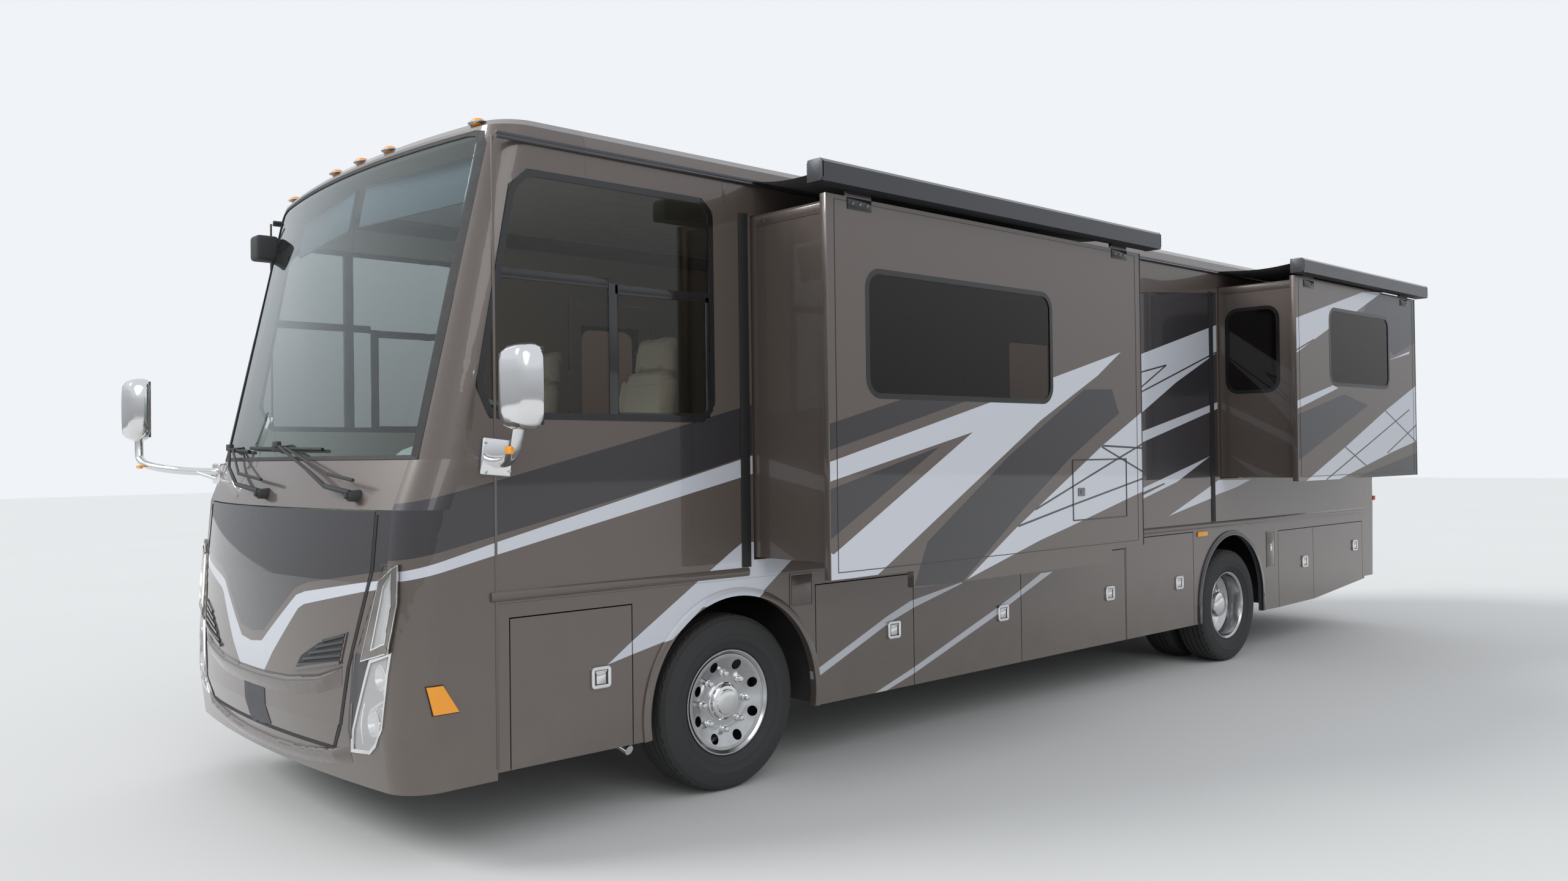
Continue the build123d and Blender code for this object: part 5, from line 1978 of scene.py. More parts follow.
    def vents(self) -> None:
        """Builds the louvred vents and the blank plate recess on the hood."""
        dark, slats, lips, blank = Piece(), Piece(), Piece(), Piece()
        for side in SIDES:
            self.patch(dark, self.vent, side, 0.001, 0.004)
            for number in range(5):
                low = 0.768 + number * 0.030
                left = 0.500 + number * 0.050
                right = 0.836 + number * 0.006
                rise = 0.045 - number * 0.002
                self.patch(slats, ((left, low), (right, low + rise), (right, low + rise + 0.011), (left, low + 0.011)),
                           side, 0.007, 0.008)
            self.patch(lips, ((0.470, 0.746), (0.838, 0.810), (0.838, 0.822), (0.470, 0.760)), side, 0.011, 0.014)
            self.patch(lips, ((0.834, 0.815), (0.841, 0.815), (0.874, 0.944), (0.866, 0.942)), side, 0.005, 0.008)
        self.patch(blank, ((-0.098, 0.440), (0.160, 0.463), (0.150, 0.672), (-0.097, 0.657)), 1, 0.0025, 0.006)
        dark.finish("vent_recesses", BLACK_PLASTIC, "hood")
        slats.finish("vent_louvres", BLACK_TRIM, "hood")
        lips.finish("vent_lips", BRONZE_TRIM, "hood")
        blank.finish("blank_plate_panel", BLANK_PANEL, "hood")

    def ledge(self, piece: Piece, line: Sequence[Point2], drop: float, depth: float) -> None:
        """Adds a rounded ledge under a line across the nose, running out at its ends.

        Args:
            piece: the piece that it is added to.
            line: the ledge's upper edge on one side, from the middle outwards.
            drop: how far it reaches down.
            depth: how far it stands out.
        """
        def rise(across: float, height: float) -> float:
            """Returns the ledge's depth at a place.

            Args:
                across: the place across the nose.
                height: the height.

            Returns:
                The depth.
            """
            place = min(abs(across), line[-1][0])
            near, far = next(pair for pair in zip(line, line[1:]) if place <= pair[1][0])
            head = near[1] + (far[1] - near[1]) * (place - near[0]) / (far[0] - near[0])
            share = min(1.0, max(0.0, (head - height) / drop))
            return depth * math.sin(math.pi * share ** 0.6) * min(1.0, (line[-1][0] - place) / 0.12)

        for side in SIDES:
            for (y0, z0), (y1, z1) in zip(line, line[1:]):
                corners = ((y0, z0 - drop), (y1, z1 - drop), (y1, z1), (y0, z0))
                piece.onto([(side * y, z) for y, z in corners], self.skin, 0.001, 0.003, 0.010, rise)

    def lips(self) -> None:
        """Builds the crease across the hood with a black line of painted shade along its top, and the chin lip under
        it.
        """
        crease, shade, chin = Piece(), Piece(), Piece()
        # a thin black strip just above the crease line: painted shade over the ledge
        for side in SIDES:
            for (y0, z0), (y1, z1) in zip(self.ridge, self.ridge[1:]):
                self.patch(shade, ((y0, z0), (y1, z1), (y1, z1 + 0.008), (y0, z0 + 0.008)), side, 0.0015, 0.004)
        self.ledge(crease, self.ridge, 0.075, 0.013)
        self.ledge(chin, self.chin, 0.070, 0.020)
        crease.finish("hood_crease_lip", BRONZE_TRIM, "hood")
        shade.finish("hood_crease_shade_line", BLACK_TRIM, "hood")
        chin.finish("chin_lip", BRONZE_TRIM)


@dataclass
class Wipers:
    """The two parked wipers with their arms, links and blades."""

    rows: tuple[tuple[Point2, ...], ...] = (
        ((0.849, 1.506), (0.662, 1.530), (0.469, 1.600), (0.046, 1.724), (-0.380, 1.716), (0.484, 1.700)),
        ((0.035, 1.505), (-0.296, 1.530), (-0.560, 1.610), (-0.800, 1.722), (-1.060, 1.716), (-0.400, 1.700)),
    )

    def build(self) -> None:
        """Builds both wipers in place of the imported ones."""
        skin = Skin(["front_cap", "windshield"], Way.NOSE)
        arms, blades = Piece(), Piece()
        for pivot, elbow, middle, joint, low, high in self.rows:
            spot = skin.point(*pivot)
            arms.rod(spot + Vector((-0.01, 0, 0)), spot + Vector((0.045, 0, 0.0)), 0.026, 0.022, 20, 0.004)
            arms.rod(spot + Vector((0.045, 0, 0)), spot + Vector((0.058, 0, 0.0)), 0.014, 0.012, 6, 0.002)
            line_points = [skin.point(*pivot, 0.042), skin.point(*elbow, 0.048), skin.point(*middle, 0.046),
                           skin.point(*joint, 0.036)]
            for start, end, size in zip(line_points, line_points[1:], (0.013, 0.010, 0.007)):
                arms.rod(start, end, size, size * 0.85, 8, 0.002)
            link = [p + Vector((0.0, 0.035, 0.052)) for p in (line_points[0], line_points[1])]
            arms.rod(link[0], link[1], 0.008, segments=8)
            arms.rod(link[1], skin.point(joint[0] + 0.10, joint[1] - 0.015, 0.034), 0.006, segments=8)
            arms.block(line_points[-1] - Vector((0.012, 0.030, 0.012)), line_points[-1] + Vector((0.010, 0.030, 0.014)),
                       0.004)
            count = 10
            for number in range(count):
                shares = (number / count, (number + 1) / count)
                points = [
                    skin.point(low[0] + (high[0] - low[0]) * s, low[1] + (high[1] - low[1]) * s, 0.016) for s in shares
                ]
                blades.rod(points[0], points[1], 0.0085, segments=8)
                foot = [p - Vector((0.008, 0, 0.004)) for p in points]
                blades.rod(foot[0], foot[1], 0.004, segments=6)
            middle_share = 0.5 * (Vector(low) + Vector(high))
            blades.block(skin.point(*middle_share, 0.012) - Vector((0.010, 0.075, 0.010)),
                         skin.point(*middle_share, 0.026) + Vector((0.006, 0.075, 0.012)), 0.004)
        arm = arms.finish("wiper_arms", BLACK_PLASTIC)
        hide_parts("wipers")
        blades.finish("wiper_blades", SEAL_RUBBER)


@dataclass
class Mirrors:
    """Chrome mirror pods on their arms, and the small black look-down mirror."""

    near_pod: Point3 = (4.378, 1.575, 1.940)
    far_pod: Point3 = (4.927, -1.620, 1.950)
    pod_size: Point3 = (0.125, 0.215, 0.345)

    def build(self) -> None:
        """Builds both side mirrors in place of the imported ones."""
        chrome, faces, dark, amber = Piece(), Piece(), Piece(), Piece()
        for pod in (self.near_pod, self.far_pod):
            self.pod(chrome, faces, dark, pod)
        self.near_arm(chrome, amber)
        self.far_arm(chrome, amber)
        self.look_down(dark, faces)
        whole = chrome.finish("mirror_pods_and_arms", CHROME, smooth=40.0)
        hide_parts("mirrors")
        faces.finish("mirror_faces", MIRROR)
        dark.finish("mirror_bezels", BLACK_PLASTIC)
        amber.finish("mirror_repeaters", AMBER)

    def pod(self, chrome: Piece, faces: Piece, dark: Piece, middle: Point3) -> None:
        """Adds one pod: a domed chrome shell ahead of two mirror panes.

        Args:
            chrome: the piece of the chrome shells and arms.
            faces: the piece of the mirror panes.
            dark: the piece of the black bezels.
            middle: the pod's middle.
        """
        cx, cy, cz = middle
        dx, dy, dz = (size / 2 for size in self.pod_size)
        shell = bmesh.new()
        bmesh.ops.create_cube(shell, size=2.0)
        bmesh.ops.subdivide_edges(shell, edges=shell.edges[:], cuts=5, use_grid_fill=True)
        for _ in range(6):
            bmesh.ops.smooth_vert(shell, verts=shell.verts[:], factor=0.5, use_axis_x=True, use_axis_y=True,
                                  use_axis_z=True)
        reach = [max(abs(v.co[i]) for v in shell.verts) for i in range(3)]
        bmesh.ops.scale(shell, vec=(dx / reach[0], dy / reach[1], dz / reach[2]), verts=shell.verts[:])
        for vert in shell.verts:
            front = (vert.co.x / dx + 1) / 2
            vert.co.y *= 1.06 - 0.16 * front * front
            vert.co.z *= 1.03 - 0.10 * front * front
        bmesh.ops.bisect_plane(shell, geom=shell.verts[:] + shell.edges[:] + shell.faces[:], dist=1e-6,
                               plane_co=(-dx * 0.72, 0, 0), plane_no=(1, 0, 0), clear_inner=True)
        rim = [e for e in shell.edges if e.is_boundary]
        bmesh.ops.holes_fill(shell, edges=rim, sides=0)
        bmesh.ops.translate(shell, vec=middle, verts=shell.verts[:])
        chrome.take(shell)
        back = cx - dx * 0.72
        panes = (
            (dark, -0.004, 0.002, 0.90, -0.90, 0.90, 0.002), (faces, -0.007, -0.003, 0.80, -0.22, 0.82, 0.001),
            (faces, -0.007, -0.003, 0.80, -0.80, -0.30, 0.001),
        )
        for piece, near, far, wide, foot, head, ease in panes:
            piece.block((back + near, cy - dy * wide, cz + dz * foot),
                        (back + far, cy + dy * wide, cz + dz * head), ease)

    def near_arm(self, chrome: Piece, amber: Piece) -> None:
        """Adds the base plate and cast arm on the driver's side.

        Args:
            chrome: the piece of the chrome shells and arms.
            amber: the piece of the repeaters.
        """
        base = Matrix.Translation((4.312, SIDE_Y + 0.008, 1.660)) @ Matrix.Rotation(math.radians(-6), 4, "Y")
        chrome.block((-0.072, -0.009, -0.078), (0.072, 0.010, 0.078), 0.008, 3, base)
        for dx, dz in ((-0.054, -0.060), (0.054, -0.060), (-0.054, 0.060), (0.054, 0.060)):
            x, z = 4.312 + dx, 1.66 + dz
            chrome.rod((x, SIDE_Y + 0.016, z), (x, SIDE_Y + 0.024, z), 0.008, 0.006, 12)
        chrome.pipe([(4.312, SIDE_Y + 0.005, 1.640), (4.318, SIDE_Y + 0.100, 1.640), (4.340, 1.440, 1.670),
                     (4.362, 1.520, 1.730), (4.372, 1.560, 1.800)], 0.027, 5, 8)
        chrome.ball((4.374, 1.565, 1.792), (0.040, 0.040, 0.022), 20)
        amber.block((4.366, 1.455, 1.672), (4.384, 1.505, 1.704), 0.005)

    def far_arm(self, chrome: Piece, amber: Piece) -> None:
        """Adds the long arm that carries the kerb-side mirror ahead of the nose corner.

        Args:
            chrome: the piece of the chrome shells and arms.
            amber: the piece of the repeaters.
        """
        skin = Skin(["front_cap"], Way.NOSE)
        foot = skin.point(-1.150, 1.590)
        chrome.block((foot.x - 0.020, -1.205, 1.535), (foot.x + 0.030, -1.095, 1.645), 0.008, 3)
        chrome.pipe([(foot.x + 0.010, -1.150, 1.600), (foot.x + 0.120, -1.200, 1.600), (4.880, -1.430, 1.625),
                     (4.915, -1.580, 1.655), (4.915, -1.620, 1.700), (4.915, -1.620, 1.800)], 0.021, 5, 8)
        chrome.rod((foot.x + 0.020, -1.150, 1.560), (foot.x + 0.110, -1.196, 1.598), 0.010, segments=12)
        chrome.ball((4.915, -1.620, 1.790), (0.036, 0.036, 0.020), 20)
        amber.block((4.925, -1.560, 1.622), (4.945, -1.500, 1.640), 0.004)

    def look_down(self, dark: Piece, faces: Piece) -> None:
        """Adds the small black mirror high on the kerb-side corner.

        Args:
            dark: the piece of the black bezels.
            faces: the piece of the mirror panes.
        """
        dark.block((4.330, -1.205, 2.775), (4.452, -1.085, 2.915), 0.020, 3)
        dark.prism([(4.225, -1.120, 2.900), (4.340, -1.120, 2.900), (4.340, -1.120, 2.800)], (0, 0.030, 0), 0.004)
        faces.block((4.322, -1.190, 2.790), (4.334, -1.100, 2.900), 0.003)


@dataclass
class Toppers:
    """Ends, joints and brackets of the awning cases, and their cloth up to the roof."""

    cases: tuple[tuple[Point2, Point2], ...] = (
        ((0.024, 2.992), (1.792, 2.906)), ((-4.320, -1.878), (1.852, 2.938)), ((-2.026, 0.947), (1.852, 2.906)),
    )
    tall: float = 0.105
    sag: float = 0.018

    def build(self) -> None:
        """Builds the fittings and cloth of each room."""
        for room, ((start, end), (near, foot)) in zip(ROOMS, self.cases):
            name, side, (room_start, room_end) = room.name, room.side, room.ends
            body = "slideout_" + name
            trim, plates, screws, caps = Piece(), Piece(), Piece(), Piece()
            far, head, chamfer = near + 0.100, foot + self.tall, 0.014
            outline = [(near, foot), (far - chamfer, foot), (far, foot + chamfer), (far, head - chamfer),
                       (far - chamfer, head), (near + chamfer, head), (near, head - chamfer)]
            for x, way in ((start, 1), (end, -1)):
                caps.prism([(x - way * 0.005, side * y, z) for y, z in outline], (way * 0.013, 0, 0), 0.0015)
                trim.block((x + way * 0.008, side * (near - 0.001), foot - 0.003),
                           (x + way * 0.035, side * (far - 0.0005), head - 0.018), 0.004)
                trim.block((x + way * 0.008, side * (near + 0.010), foot + 0.020),
                           (x + way * 0.050, side * (far - 0.030), head + 0.001), 0.003)
            for level in (0.020, 0.062):
                trim.block((start + 0.036, side * (far - 0.002), foot + level),
                           (end - 0.036, side * (far - 0.0002), foot + level + 0.006), 0.0)
            trim.finish("case_trim_" + name, CASE_ALUMINIUM, body)
            caps.finish("case_ends_" + name, CASE_END, body)
            face = near + 0.020
            for x in (room_start + 0.230, room_end - 0.225):
                plates.block((x - 0.083, side * face, foot - 0.088), (x + 0.083, side * (face + 0.005), foot - 0.032),
                             0.002)
                for step in (-0.050, 0.0, 0.050):
                    screws.rod((x + step, side * (face + 0.004), foot - 0.060),
                               (x + step, side * (face + 0.010), foot - 0.060), 0.009, 0.007, 12)
            plates.finish("case_bracket_plates_" + name, BLACK_TRIM, body)
            screws.finish("case_bracket_screws_" + name, STEEL, body)
            self.cloth(name, side, room_start + 0.03, room_end - 0.03, near + 0.012, foot + 0.085)

    def cloth(self, name: str, side: int, start: float, end: float, out: float, height: float) -> None:
        """Stretches the cloth from the roof rail to the case, with a slight sag.

        Args:
            name: the room's name.
            side: the room's side of the vehicle.
            start: the cloth's rear end.
            end: its front end.
            out: how far out it reaches.
            height: its height at the case.
        """
        bm = bmesh.new()
        inner = SIDE_Y + 0.006
        wide, long = out - inner, end - start
        bmesh.ops.create_grid(bm, x_segments=36, y_segments=14, size=0.5)
        bmesh.ops.scale(bm, vec=(long, wide, 1.0), verts=bm.verts)
        bmesh.ops.translate(bm, vec=((start + end) / 2, (inner + out) / 2, 0.0), verts=bm.verts)
        for vert in bm.verts:
            share = (vert.co.y - inner) / wide
            sag = self.sag * math.sin(math.pi * share) * (1 + 0.25 * math.sin(vert.co.x * 7.0 + share * 3.0))
            vert.co.z = RAIL_Z + (height - RAIL_Z) * share - sag
            vert.co.y *= side
        bmesh.ops.recalc_face_normals(bm, faces=bm.faces)
        if bm.faces[:][0].normal.z < 0:
            bmesh.ops.reverse_faces(bm, faces=bm.faces[:])
        mesh = into_mesh("awning_cloth_" + name, bm)
        mesh.shade_smooth()
        mesh.materials.append(AWNING_CLOTH.material())
        sheet = into_scene("awning_cloth_" + name, mesh)
        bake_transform(sheet)


@dataclass
class Markers:
    """Clearance lamps and reflectors round the body."""

    def build(self) -> None:
        """Builds the side markers and the bases of the roof markers."""
        amber, bases, red, gaskets = Piece(), Piece(), Piece(), Piece()
        for side in SIDES:
            corners = [(4.492, 0.628), (4.602, 0.628), (4.628, 0.742), (4.562, 0.742)]
            skin = Skin(["front_cap"], Way.LEFT if side > 0 else Way.RIGHT)
            gasket = [(4.488, 0.624), (4.606, 0.624), (4.633, 0.746), (4.559, 0.746)]
            gaskets.onto(gasket, skin, 0.003, 0.005)
            amber.onto(corners, skin, 0.010, 0.008)
            y = side * SIDE_Y
            amber.block((-1.700, y, 0.997), (-1.555, y + side * 0.010, 1.033), 0.004)
            red.block((-4.920, side * (SIDE_Y - 0.050), 1.155), (-4.862, side * (SIDE_Y + 0.004), 1.197), 0.006)
        top = Skin(["front_cap"], Way.TOP)
        lenses = Piece()
        for y, x in ((1.036, 4.255), (0.307, 4.318), (0.0, 4.322), (-0.307, 4.318), (-1.036, 4.255)):
            foot = top.point(x, y)
            bases.ball(foot + Vector((0, 0, 0.001)), (0.042, 0.056, 0.008), 24)
            lenses.ball(foot + Vector((0.004, 0, 0.005)), (0.029, 0.041, 0.017), 24)
        lamp = lenses.finish("roof_marker_lenses", AMBER)
        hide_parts("marker_lamps")
        amber.finish("side_markers_amber", AMBER)
        red.finish("side_markers_red", RED)
        bases.finish("marker_bases", CHROME)
        gaskets.finish("side_marker_gaskets", SEAL_RUBBER)


@dataclass
class Windscreen:
    """Rubber seal round the windscreen and the visors behind it."""

    outline: tuple[Point2, ...] = ((1.150, 1.656), (1.164, 3.000), (1.135, 3.060), (1.070, 3.072))
    border: float = 0.055

    def build(self) -> None:
        """Builds the seal and the visors."""
        skin = Skin(["front_cap", "windshield"], Way.NOSE)
        seal = Piece()
        full = list(self.outline) + [(-y, z) for y, z in reversed(self.outline)]
        middle = Vector((0.0, 2.36))
        count = len(full)
        for i in range(count):
            a, b = full[i], full[(i + 1) % count]
            corners = [a, b]
            for corner in (b, a):
                pull = (middle - Vector(corner)).normalized() * self.border
                corners.append((corner[0] + pull.x, corner[1] + pull.y * 0.6))
            seal.onto(corners, skin, 0.004, 0.007, 0.025)
        seal.finish("windscreen_seal", SEAL_RUBBER)
        visors = Piece()
        for side in SIDES:
            near, far = side * 0.06, side * 1.02
            corners = [(4.330, near, 2.985), (4.368, near, 2.790), (4.248, far, 2.790), (4.210, far, 2.985)]
            visors.prism(corners, (-0.018, 0, 0), 0.005)
            visors.rod((4.318, near, 2.990), (4.200, far, 2.990), 0.011, segments=16, ease=0.002)
        visors.finish("sun_visors", VISOR_VINYL)


@dataclass
class Cab:
    """Padded leather seats on pedestals, the dash hood, screen and vents."""

    seat_y: float = 0.56
    voxel: float = 0.006
    pressure: float = 4.0
    reach: float = 0.014
    seam_depth: float = 0.0045

    def build(self) -> None:
        """Builds the seats and the dash."""
        lean = Matrix.Translation((3.030, 0.0, 1.800)) @ Matrix.Rotation(math.radians(-9), 4, "Y")
        self.pads("seat_cushion", self.cushion_core(), self.cushion_seams, Matrix.Identity(4))
        self.pads("seat_back", self.back_core(lean), self.back_seams, lean)
        self.pads("head_rest", self.head_core(), self.head_seams, Matrix.Identity(4))
        self.frames()
        self.dash()

    def cushion_core(self) -> Piece:
        """Shapes the seat cushion: base, side bolsters and a roll at the front.

        Returns:
            The cushion.
        """
        core = Piece()
        core.block((2.985, -0.205, 1.425), (3.420, 0.205, 1.530), 0.030, 3)
        for side in SIDES:
            core.rod((2.990, side * 0.205, 1.480), (3.410, side * 0.212, 1.478), 0.046, 0.044, 24, 0.020)
        core.rod((3.405, -0.200, 1.472), (3.405, 0.200, 1.472), 0.050, segments=24, ease=0.020)
        return core

    def back_core(self, lean: Matrix) -> Piece:
        """Shapes the seat back: board, side bolsters and lumbar roll, leaning back.

        Args:
            lean: the turn and move that lean it back.

        Returns:
            The seat back.
        """
        core = Piece()
        core.block((-0.035, -0.195, -0.270), (0.030, 0.195, 0.300), 0.028, 3, lean)
        for side in SIDES:
            core.rod(lean @ Vector((0.018, side * 0.205, -0.255)), lean @ Vector((0.012, side * 0.185, 0.270)), 0.044,
                     0.038, 24, 0.018)
        core.rod(lean @ Vector((0.018, -0.19, -0.17)), lean @ Vector((0.018, 0.19, -0.17)), 0.050, segments=24)
        core.rod(lean @ Vector((-0.004, -0.16, 0.288)), lean @ Vector((-0.004, 0.16, 0.288)), 0.038, segments=24,
                 ease=0.014)
        return core

    def head_core(self) -> Piece:
        """Shapes the head rest.

        Returns:
            The head rest.
        """
        core = Piece()
        place = Matrix.Translation((2.938, 0.0, 2.215)) @ Matrix.Rotation(math.radians(-6), 4, "Y")
        core.block((-0.028, -0.150, -0.125), (0.028, 0.150, 0.080), 0.026, 4, place)
        for side in SIDES:
            core.rod(place @ Vector((0.012, side * 0.135, -0.115)), place @ Vector((0.006, side * 0.118, 0.062)), 0.034,
                     0.028, 20, 0.014)
        core.rod(place @ Vector((0.002, -0.11, 0.050)), place @ Vector((0.002, 0.11, 0.050)), 0.034, segments=20,
                 ease=0.012)
        return core

    def cushion_seams(self, place: Vector) -> float:
        """Returns how deep the cushion's sewn channels press at a point.

        Args:
            place: the point, in the pad's own frame.

        Returns:
            The depth, from 0 to 1.
        """
        side = abs(abs(place.y) - 0.158)
        cross = min(abs(place.x - 3.12), abs(place.x - 3.27)) if abs(place.y) < 0.158 else 1.0
        return max(0.0, 1 - side / 0.009) + 0.7 * max(0.0, 1 - cross / 0.009)

    def back_seams(self, place: Vector) -> float:
        """Returns how deep the back's sewn channels press at a point.

        Args:
            place: the point, in the pad's own frame.

        Returns:
            The depth, from 0 to 1.
        """
        side = abs(abs(place.y) - 0.150)
        cross = min(abs(place.z + 0.215), abs(place.z - 0.235)) if abs(place.y) < 0.150 else 1.0
        return max(0.0, 1 - side / 0.009) + 0.8 * max(0.0, 1 - cross / 0.009)

    def head_seams(self, place: Vector) -> float:
        """Returns how deep the head rest's sewn channels press at a point."""
        return max(0.0, 1 - abs(abs(place.y) - 0.100) / 0.009)

    def pads(self, name: str, core: Piece, seams: Callable[[Vector], float], place: Matrix) -> None:
        """Inflates a core by cloth simulation and sets one copy of it on each seat.

        Args:
            name: the pad's name.
            core: its shape before it is stuffed.
            seams: gives the depth of the sewn channels at a point of the pad's own frame.
            place: the pad's own frame.
        """
        holder = into_scene(name, core.mesh(name))
        remesh = holder.modifiers.new("even_faces", "REMESH")
        remesh.mode = "VOXEL"
        remesh.voxel_size = self.voxel
        self.apply(holder)
        before = [v.co.copy() for v in holder.data.vertices]
        self.inflate(holder)
        back = place.inverted()
        normals = [v.normal.copy() for v in holder.data.vertices]
        for vert, start, normal in zip(holder.data.vertices, before, normals):
            moved = vert.co - start
            if moved.length > self.reach:
                moved = moved.normalized() * self.reach
            vert.co = start + moved - normal * (self.seam_depth * min(1.0, seams(back @ start)))
        pad = holder.data
        bpy.data.objects.remove(holder)
        for side, label in SIDE_NAMES.items():
            copy = pad.copy()
            copy.transform(Matrix.Translation((0.0, side * self.seat_y, 0.0)))
            copy.shade_smooth()
            copy.materials.clear()
            copy.materials.append(LEATHER.material())
            done = into_scene(f"{name}_{label}", copy)
            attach(done, "coach")
            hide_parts("seats")
        log.info("%s: %d faces, two of them", name, len(pad.polygons))

    def apply(self, holder: bpy.types.Object) -> None:
        """Bakes an object's modifiers into its mesh.

        Args:
            holder: the object.
        """
        done = baked(holder)
        holder.modifiers.clear()
        holder.data = done

    def inflate(self, holder: bpy.types.Object) -> None:
        """Stuffs a pad: cloth under inner pressure, without gravity.

        Args:
            holder: the pad.
        """
        cloth = holder.modifiers.new("stuffing", "CLOTH")
        cloth.settings.quality = 5
        cloth.settings.mass = 0.3
        cloth.settings.use_pressure = True
        cloth.settings.uniform_pressure_force = self.pressure
        cloth.settings.effector_weights.gravity = 0.0
        cloth.collision_settings.use_collision = False
        cloth.point_cache.frame_start = 1
        cloth.point_cache.frame_end = 20
        for number in range(1, 21):
            bpy.context.scene.frame_set(number)
        self.apply(holder)
        bpy.context.scene.frame_set(1)

    def frames(self) -> None:
        """Builds pedestals, seat frames, arm rests with their pins, and head rest posts."""
        base, arms, posts = Piece(), Piece(), Piece()
        for side in SIDES:
            y = side * self.seat_y
            base.turned([(0.0, 0.0), (0.0, 0.150), (0.014, 0.150), (0.022, 0.120), (0.030, 0.085), (0.200, 0.075),
                         (0.230, 0.150), (0.250, 0.155), (0.250, 0.0)], (3.20, y, 1.100), (0, 0, 1), 40,
                        start=(1, 0, 0))
            base.block((3.020, y - 0.190, 1.350), (3.395, y + 0.190, 1.412), 0.018, 3)
            for edge in SIDES:
                base.block((3.075, y + edge * 0.215 - 0.012, 1.405), (3.145, y + edge * 0.215 + 0.012, 1.450), 0.006)
                arms.block((3.030, y + edge * 0.282 - 0.028, 1.655), (3.390, y + edge * 0.282 + 0.028, 1.715), 0.022, 4)
                base.rod((3.055, y + edge * 0.225, 1.685), (3.055, y + edge * 0.270, 1.685), 0.020, segments=16)
                posts.rod((2.968, y + edge * 0.060, 2.060), (2.945, y + edge * 0.060, 2.170), 0.006, segments=12)
        base.finish("seat_pedestals", BLACK_PLASTIC)
        rests = arms.finish("seat_arm_rests", LEATHER, smooth=60.0)
        posts.finish("head_rest_posts", STEEL)

    def dash(self) -> None:
        """Builds the dash hoods, the instruments, the middle screen, the vents and the trim strip."""
        hood, dark, glass, wood = Piece(), Piece(), Piece(), Piece()
        section = ((4.03, 1.585), (4.01, 1.645), (4.025, 1.700), (4.075, 1.735), (4.150, 1.738), (4.260, 1.700),
                   (4.380, 1.620), (4.380, 1.585))
        hood.prism([(x, 0.270, z) for x, z in section], (0, 0.600, 0), 0.014, 3)
        hood.prism([(4.05, -1.05, 1.590), (4.05, -1.05, 1.640), (4.12, -1.05, 1.665), (4.33, -1.05, 1.625),
                    (4.33, -1.05, 1.590)], (0, 1.16, 0), 0.010, 2)
        hood.finish("dash_hoods", DASH_VINYL, smooth=50.0)
        dark.block((4.000, 0.330, 1.560), (4.022, 0.810, 1.690), 0.006)
        dark.block((3.985, -0.080, 1.350), (4.004, 0.200, 1.560), 0.006)
        for y in (-0.90, -0.55, 0.24, 0.90):
            dark.turned([(0.0, 0.0), (0.0, 0.042), (-0.012, 0.046), (-0.014, 0.034), (-0.006, 0.030), (-0.006, 0.0)],
                        (4.002, y, 1.500), (1, 0, 0), 24)
        dark.finish("dash_instruments", BLACK_PLASTIC)
        glass.block((3.981, -0.068, 1.372), (3.986, 0.188, 1.545), 0.002)
        glass.finish("dash_screen", BLACK_TRIM, slot="dark_paint")
        wood.block((3.992, -1.08, 1.400), (4.001, 1.08, 1.432), 0.003)
        wood.finish("dash_trim_strip", FloorPlanks("dash_wood"))


